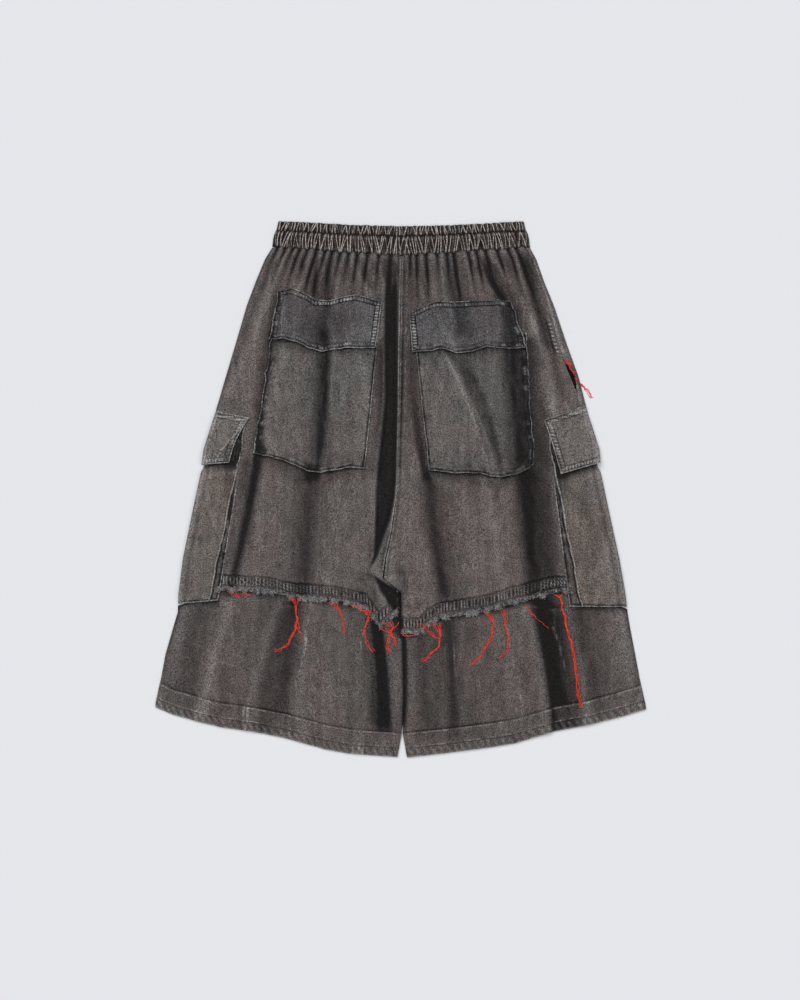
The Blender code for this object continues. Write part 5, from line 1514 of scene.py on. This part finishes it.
def patch(name, side, tag, flap):
    """A piece sewn flat on the back: a pocket or, over it, its flap."""
    _, ax, ay, bx, by, cx, cy, dx, dy = row_of(PATCHES, name)
    hem_u, hem_v = np.linspace(0, 0.075, 17), np.linspace(0, 0.16 if flap else 0.06, 17)
    head_v = hem_v if flap else np.array([0, 0.01, 0.03])
    u, v = np.meshgrid(
        steps(hem_u, 62, 1 - hem_u[::-1]),
        steps(head_v, 32 if flap else 92, 1 - hem_v[::-1]),
    )
    grid = np.zeros(u.shape + (3,))
    grid[..., 0] = between(between(ax, bx, u), between(cx, dx, u), v)
    grid[..., 1] = between(between(ay, by, u), between(cy, dy, u), v)
    edges = [r[1:] for r in EDGES if r[0] == name]
    grid[..., 1] += along(edges, 0, 1, u) * (1 - v) ** 2 + along(edges, 0, 2, u) * v**2
    # the sewn sides pull in unevenly, and the edges aren't quite straight
    sway = 1.8 * (wave(grid[..., 1], 13, 71 + side) - 0.5) + 1.1 * (wave(grid[..., 1], 5, 72 + side) - 0.5)
    loose = smooth((1 - u if side < 0 else u) * 2 - 0.5)  # the side away from the centre seam
    grid[..., 0] += sway * (0.4 + loose) * (bell(u, 0.08) + bell(1 - u, 0.08))
    grid[..., 1] += 1.1 * (wave(grid[..., 0], 6, 73 + side) - 0.5) * bell(1 - v, 0.1)
    x, y = grid[..., 0], grid[..., 1]
    top, across = lines_mm(grid)
    foot = top[-1:, :] - top
    side_near = np.minimum(across, across[:, -1:] - across)
    base = upper_height(side, x, y)
    if flap:
        end_near = np.minimum(top, foot)
        high = base + CLOTH + FLAP_CLOTH + 0.9 + 3.4 * smooth(1 - foot / 34) - 0.9 * smooth(1 - top / 5)
        high += 1.5 * (noise(x, y, 20, 34, 70 + side) - 0.5) + 0.9 * crumple(x, y, 34)
        high += 1.9 * bell(foot, 8) * (wave(x, 15, 79 + side) - 0.4)
    else:
        end_near = foot
        puff = smooth(np.minimum(side_near, foot) / 16)
        high = base + CLOTH + 0.6 + 2.0 * puff + 1.0 * crumple(x, y, 36) * puff
        high += 3.8 * bell(foot, 9) * smooth(side_near / 9)
        high += 1.4 * (noise(x, y, 26, 44, 74 + side) - 0.5) * puff
    near = np.minimum(side_near, end_near)
    run = np.where(side_near < end_near, y, x)
    high += 1.0 * bell(near - 4.8, 3.5) * (wave(run, 5.2, 76) - 0.5)
    high -= 0.45 * bell(near - EDGE_SEAM, 0.8) + 0.5 * bell(near - TWIN_SEAM, 1.0)
    high += 1.7 * bell(side_near, 14) * (wave(y + 0.25 * side_near, 17, 77 + side) - 0.5)
    grid[..., 2] = high
    fold_painted_shade, fold_highlight_and_wear = fold_paint(x, y)
    ladder = np.zeros(x.shape)
    if flap:
        # the end next to the centre is sewn down hard, the other end is soft and puckered
        hard = smooth((u if side < 0 else 1 - u) * 2.2 - 0.5)
        ladder = np.where(top < foot, 1.0, 0.45) * (side_near > end_near)
        ladder = ladder + (side_near <= end_near) * (0.3 + 1.4 * hard)
    # the edges' wear and painted highlight, painted shade along the stitching, and the folds' painted shade
    # and highlight
    wear_and_highlight = edge_wear_and_highlight(near, run, 80 + side, ladder) + 0.8 * fold_highlight_and_wear
    painted_shade = np.clip(edge_painted_shade(near, run, 80 + side, ladder), 0, 1)
    painted_shade = 1 - (1 - painted_shade) * (1 - (0.8 * fold_painted_shade if flap else fold_painted_shade))
    if flap:
        # painted shade in the soft end's puckers, painted highlight towards its foot
        painted_shade += 0.6 * smooth(1 - side_near / 9) * (1 - hard) * smooth((wave(y, 6, 83 + side) - 0.3) / 0.3)
        wear_and_highlight += 0.12 * smooth((foot + 6 - 40 * (1 - hard)) / 30) * smooth((34 - foot) / 20)
    else:
        # painted shadow of the flap on the bag, the bag's top under the flap in painted shade, mottled
        # painted shade near the foot and in the puckers along the loose side and the foot
        painted_shade = np.maximum(painted_shade, patch_shade(x, y, ["pocket_flap_" + tag]))
        painted_shade = np.maximum(painted_shade, 0.8 * (top < 14))
        painted_shade += 0.3 * bell(foot, 16) * noise(x, y, 12, 16, 84)
        blobs = smooth((noise(y, side_near, 7, 12, 93 + side) - 0.42) / 0.22)
        painted_shade += 0.6 * loose * blobs * bell(side_near - 3, 5)
        pucker = smooth((noise(x, foot, 5, 22, 94 + side) - 0.5) / 0.2)
        painted_shade += 0.45 * pucker * bell(foot - 5, 7)
    look, thick, flat, area = (
        (FLAP, FLAP_CLOTH - 0.4, (0.145, 0.066), 0.0090) if flap else (POCKET, CLOTH, (0.15, 0.18), 0.0262)
    )
    made = cloth(name, grid, thick, look, wear_and_highlight, painted_shade)
    rows, cols = grid.shape[:2]
    for d in (2.0, TWIN_SEAM) if flap else (EDGE_SEAM,):
        for seed, from_end in ((21, False), (22, True)):
            stitch_run(line_down(grid, d, 2, rows - 5, from_end), seed=seed, width=0.6, skip=0.2)
    for d in (EDGE_SEAM, 6.4) if flap else (3.2,):
        stitch_run(line_across(grid, d, 4, cols - 4), seed=23, width=0.6)
    for d in (1.8, 7.6) if flap else ():
        stitch_run(line_across(grid, d, 3, cols - 3, False), seed=24, width=0.6)


def frays(side, tag, back):
    """Short fibres curled into uneven tufts all along the raw edge."""
    dice = np.random.RandomState(90 + side)
    line = back[-1]
    run, routes = run_of(line), []
    for _ in range(FRAY_TRIES):
        s = dice.rand() * run[-1]
        tuft = smooth((wave(s, 4.5, 92 + side) - 0.25) / 0.5)
        if dice.rand() > 0.15 + 0.85 * tuft:
            continue
        root = on_line(line, run, s)
        root[1] += 6.5 * dice.rand() - 2.2 * tuft
        root[2] += 0.9 - 0.8 * dice.rand()
        far = (1.2 + 3.0 * dice.rand() ** 1.5) * (0.4 + 0.9 * tuft)
        heading = 2 * np.pi * dice.rand() if dice.rand() < 0.6 else -np.pi / 2 + 2.2 * (dice.rand() - 0.5)
        bend, route = 3.4 * (dice.rand() - 0.5), []
        thick = 0.24 + 0.26 * dice.rand()
        for k in range(4):
            route.append((root, thick * (1 - 0.16 * k)))
            heading += bend * 0.5
            root = root + far / 3 * np.array([np.cos(heading), np.sin(heading), 0.25 - 0.2 * k])
        routes.append(route)
    strand_mesh("fray_%s" % tag, routes, FRAY)


def ground_under(grids):
    """The highest cloth near a place, from the points of the grids."""
    cells = {}
    for x, y, z in np.concatenate([g.reshape(-1, 3)[::2] for g in grids]):
        key = (int(x // CELL), int(y // CELL))
        cells[key] = max(cells.get(key, 0), z)

    def ground(x, y):
        i, j = int(x // CELL), int(y // CELL)
        return max(cells.get((i + a, j + b), 0) for a in (-1, 0, 1) for b in (-1, 0, 1))

    return ground


def loose_threads(grids):
    """The red ends: fine strands that follow the same lies as the solid bundles."""
    ground, count = ground_under(grids), 70
    t = np.linspace(0, 1, count)
    for row in THREADS + MORE_THREADS:
        name, strands, fan, *lie = row
        route = np.array(lie, float).reshape(4, 2)
        dice = np.random.RandomState(ord(name[-1]))
        curve = [np.polyfit(np.linspace(0, 3, 4), route[:, k], 3) for k in (0, 1)]
        line = np.stack([np.polyval(c, 3 * t) for c in curve], axis=1)
        way = np.gradient(line, axis=0)
        across = np.stack([-way[:, 1], way[:, 0]], axis=1) / np.linalg.norm(way, axis=1)[:, None]
        run, start = t * np.linalg.norm(np.diff(line, axis=0), axis=1).sum(), dice.rand() * 90
        free = smooth(run / 9)
        # kinks the thread keeps from having been woven
        shared = 5.6 * (wave(run + start, 10, 95) - 0.5) + 2.2 * (wave(run + start, 4, 96) - 0.5)
        routes = []
        for k in range(strands):
            turn = (k / max(strands - 1, 1) - 0.5) + 0.3 * (dice.rand() - 0.5)
            stop = (0.5 + 0.5 * dice.rand()) if k % 2 else 1.0
            phase = dice.rand() * 90
            own = 5.4 * (wave(run + phase, 8, 97) - 0.5) + 2.6 * (wave(run + phase, 3.2, 98) - 0.5)
            spread = 1.5 * np.clip(1 - run / (9 + 7 * dice.rand()), 0, 1) + 0.6 * np.clip(t - 0.62, 0, 1)
            spots = line + across * (free * (shared + own * (0.6 + 0.4 * t)))[:, None]
            spots[:, 0] += turn * (fan * spread)
            spots[:, 1] += 2.5 * (1 - t) ** 4 + 1.6 * free * (wave(run + phase, 5, 99) - 0.5)
            spots = spots[: max(int(count * stop), 8)]
            high = np.array([ground(px, py) for px, py in spots])
            high = high + 0.7 + 0.34 * (k % 4) + 0.2 * np.sin(phase + 0.3 * run[: len(high)])
            for _ in range(2):
                high[1:-1] = (high[:-2] + high[1:-1] + high[2:]) / 3
            wide = (0.38 + 0.16 * dice.rand()) * (1 - 0.3 * np.arange(len(high)) / count)
            routes.append(list(zip(np.column_stack([spots, high]), wide)))
        made = strand_mesh(name + "_strands", routes, RED, 5)
        if row in THREADS:
            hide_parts(name)


def studio():
    """Pale floor, soft light from above and a camera straight over the garment."""
    scene = bpy.context.scene
    bpy.ops.mesh.primitive_plane_add(size=12, location=(0, 0, -0.0002))
    floor = bpy.context.object
    floor.name = "floor"
    paint = {"Base Color": (0.80, 0.81, 0.84), "Roughness": 0.95, "Specular IOR Level": 0.0}
    floor.data.materials.append(blank_look("floor", paint)[0])
    scene.world = bpy.data.worlds.new("studio")
    scene.world.use_nodes = True
    sky = scene.world.node_tree.nodes["Background"]
    sky.inputs["Color"].default_value = (0.93, 0.96, 1.0, 1)
    sky.inputs["Strength"].default_value = 0.12
    # columns: light, place, strength, spread in degrees
    for name, place, strength, spread in (
        ("key", (-0.75, 1.15, 2.6), 1.15, 26),
        ("front", (0.25, -0.1, 3.0), 1.72, 50),
    ):
        light = bpy.data.lights.new(name, "SUN")
        light.energy, light.angle = strength, np.radians(spread)
        lamp = linked(name, light)
        lamp.location = place
        lamp.rotation_euler = Vector(place).to_track_quat("Z", "Y").to_euler()
    data = bpy.data.cameras.new("camera")
    scene.camera = linked("camera", data)
    scene.camera.location = (PHOTO_MIDDLE[0] / 1000, PHOTO_MIDDLE[1] / 1000, CAMERA_HIGH)
    data.sensor_fit, data.sensor_height = "VERTICAL", SENSOR
    data.lens = SENSOR * CAMERA_HIGH / PHOTO_TALL
    scene.view_settings.view_transform = "Standard"


studio()
waistband()
grids = []
for side, tag in ((-1, "left"), (1, "right")):
    grids.append(leg_back(side, tag))
    leg_front(side, tag)
    grids.append(tier_back(side, tag))
    tier_front(side, tag)
    patch("pocket_bag_" + tag, side, tag, False)
    patch("pocket_flap_" + tag, side, tag, True)
    cargo("bag", side, tag)
    cargo("flap", side, tag)
loose_threads(grids)
seams = sew("seam_stitches", STITCH)
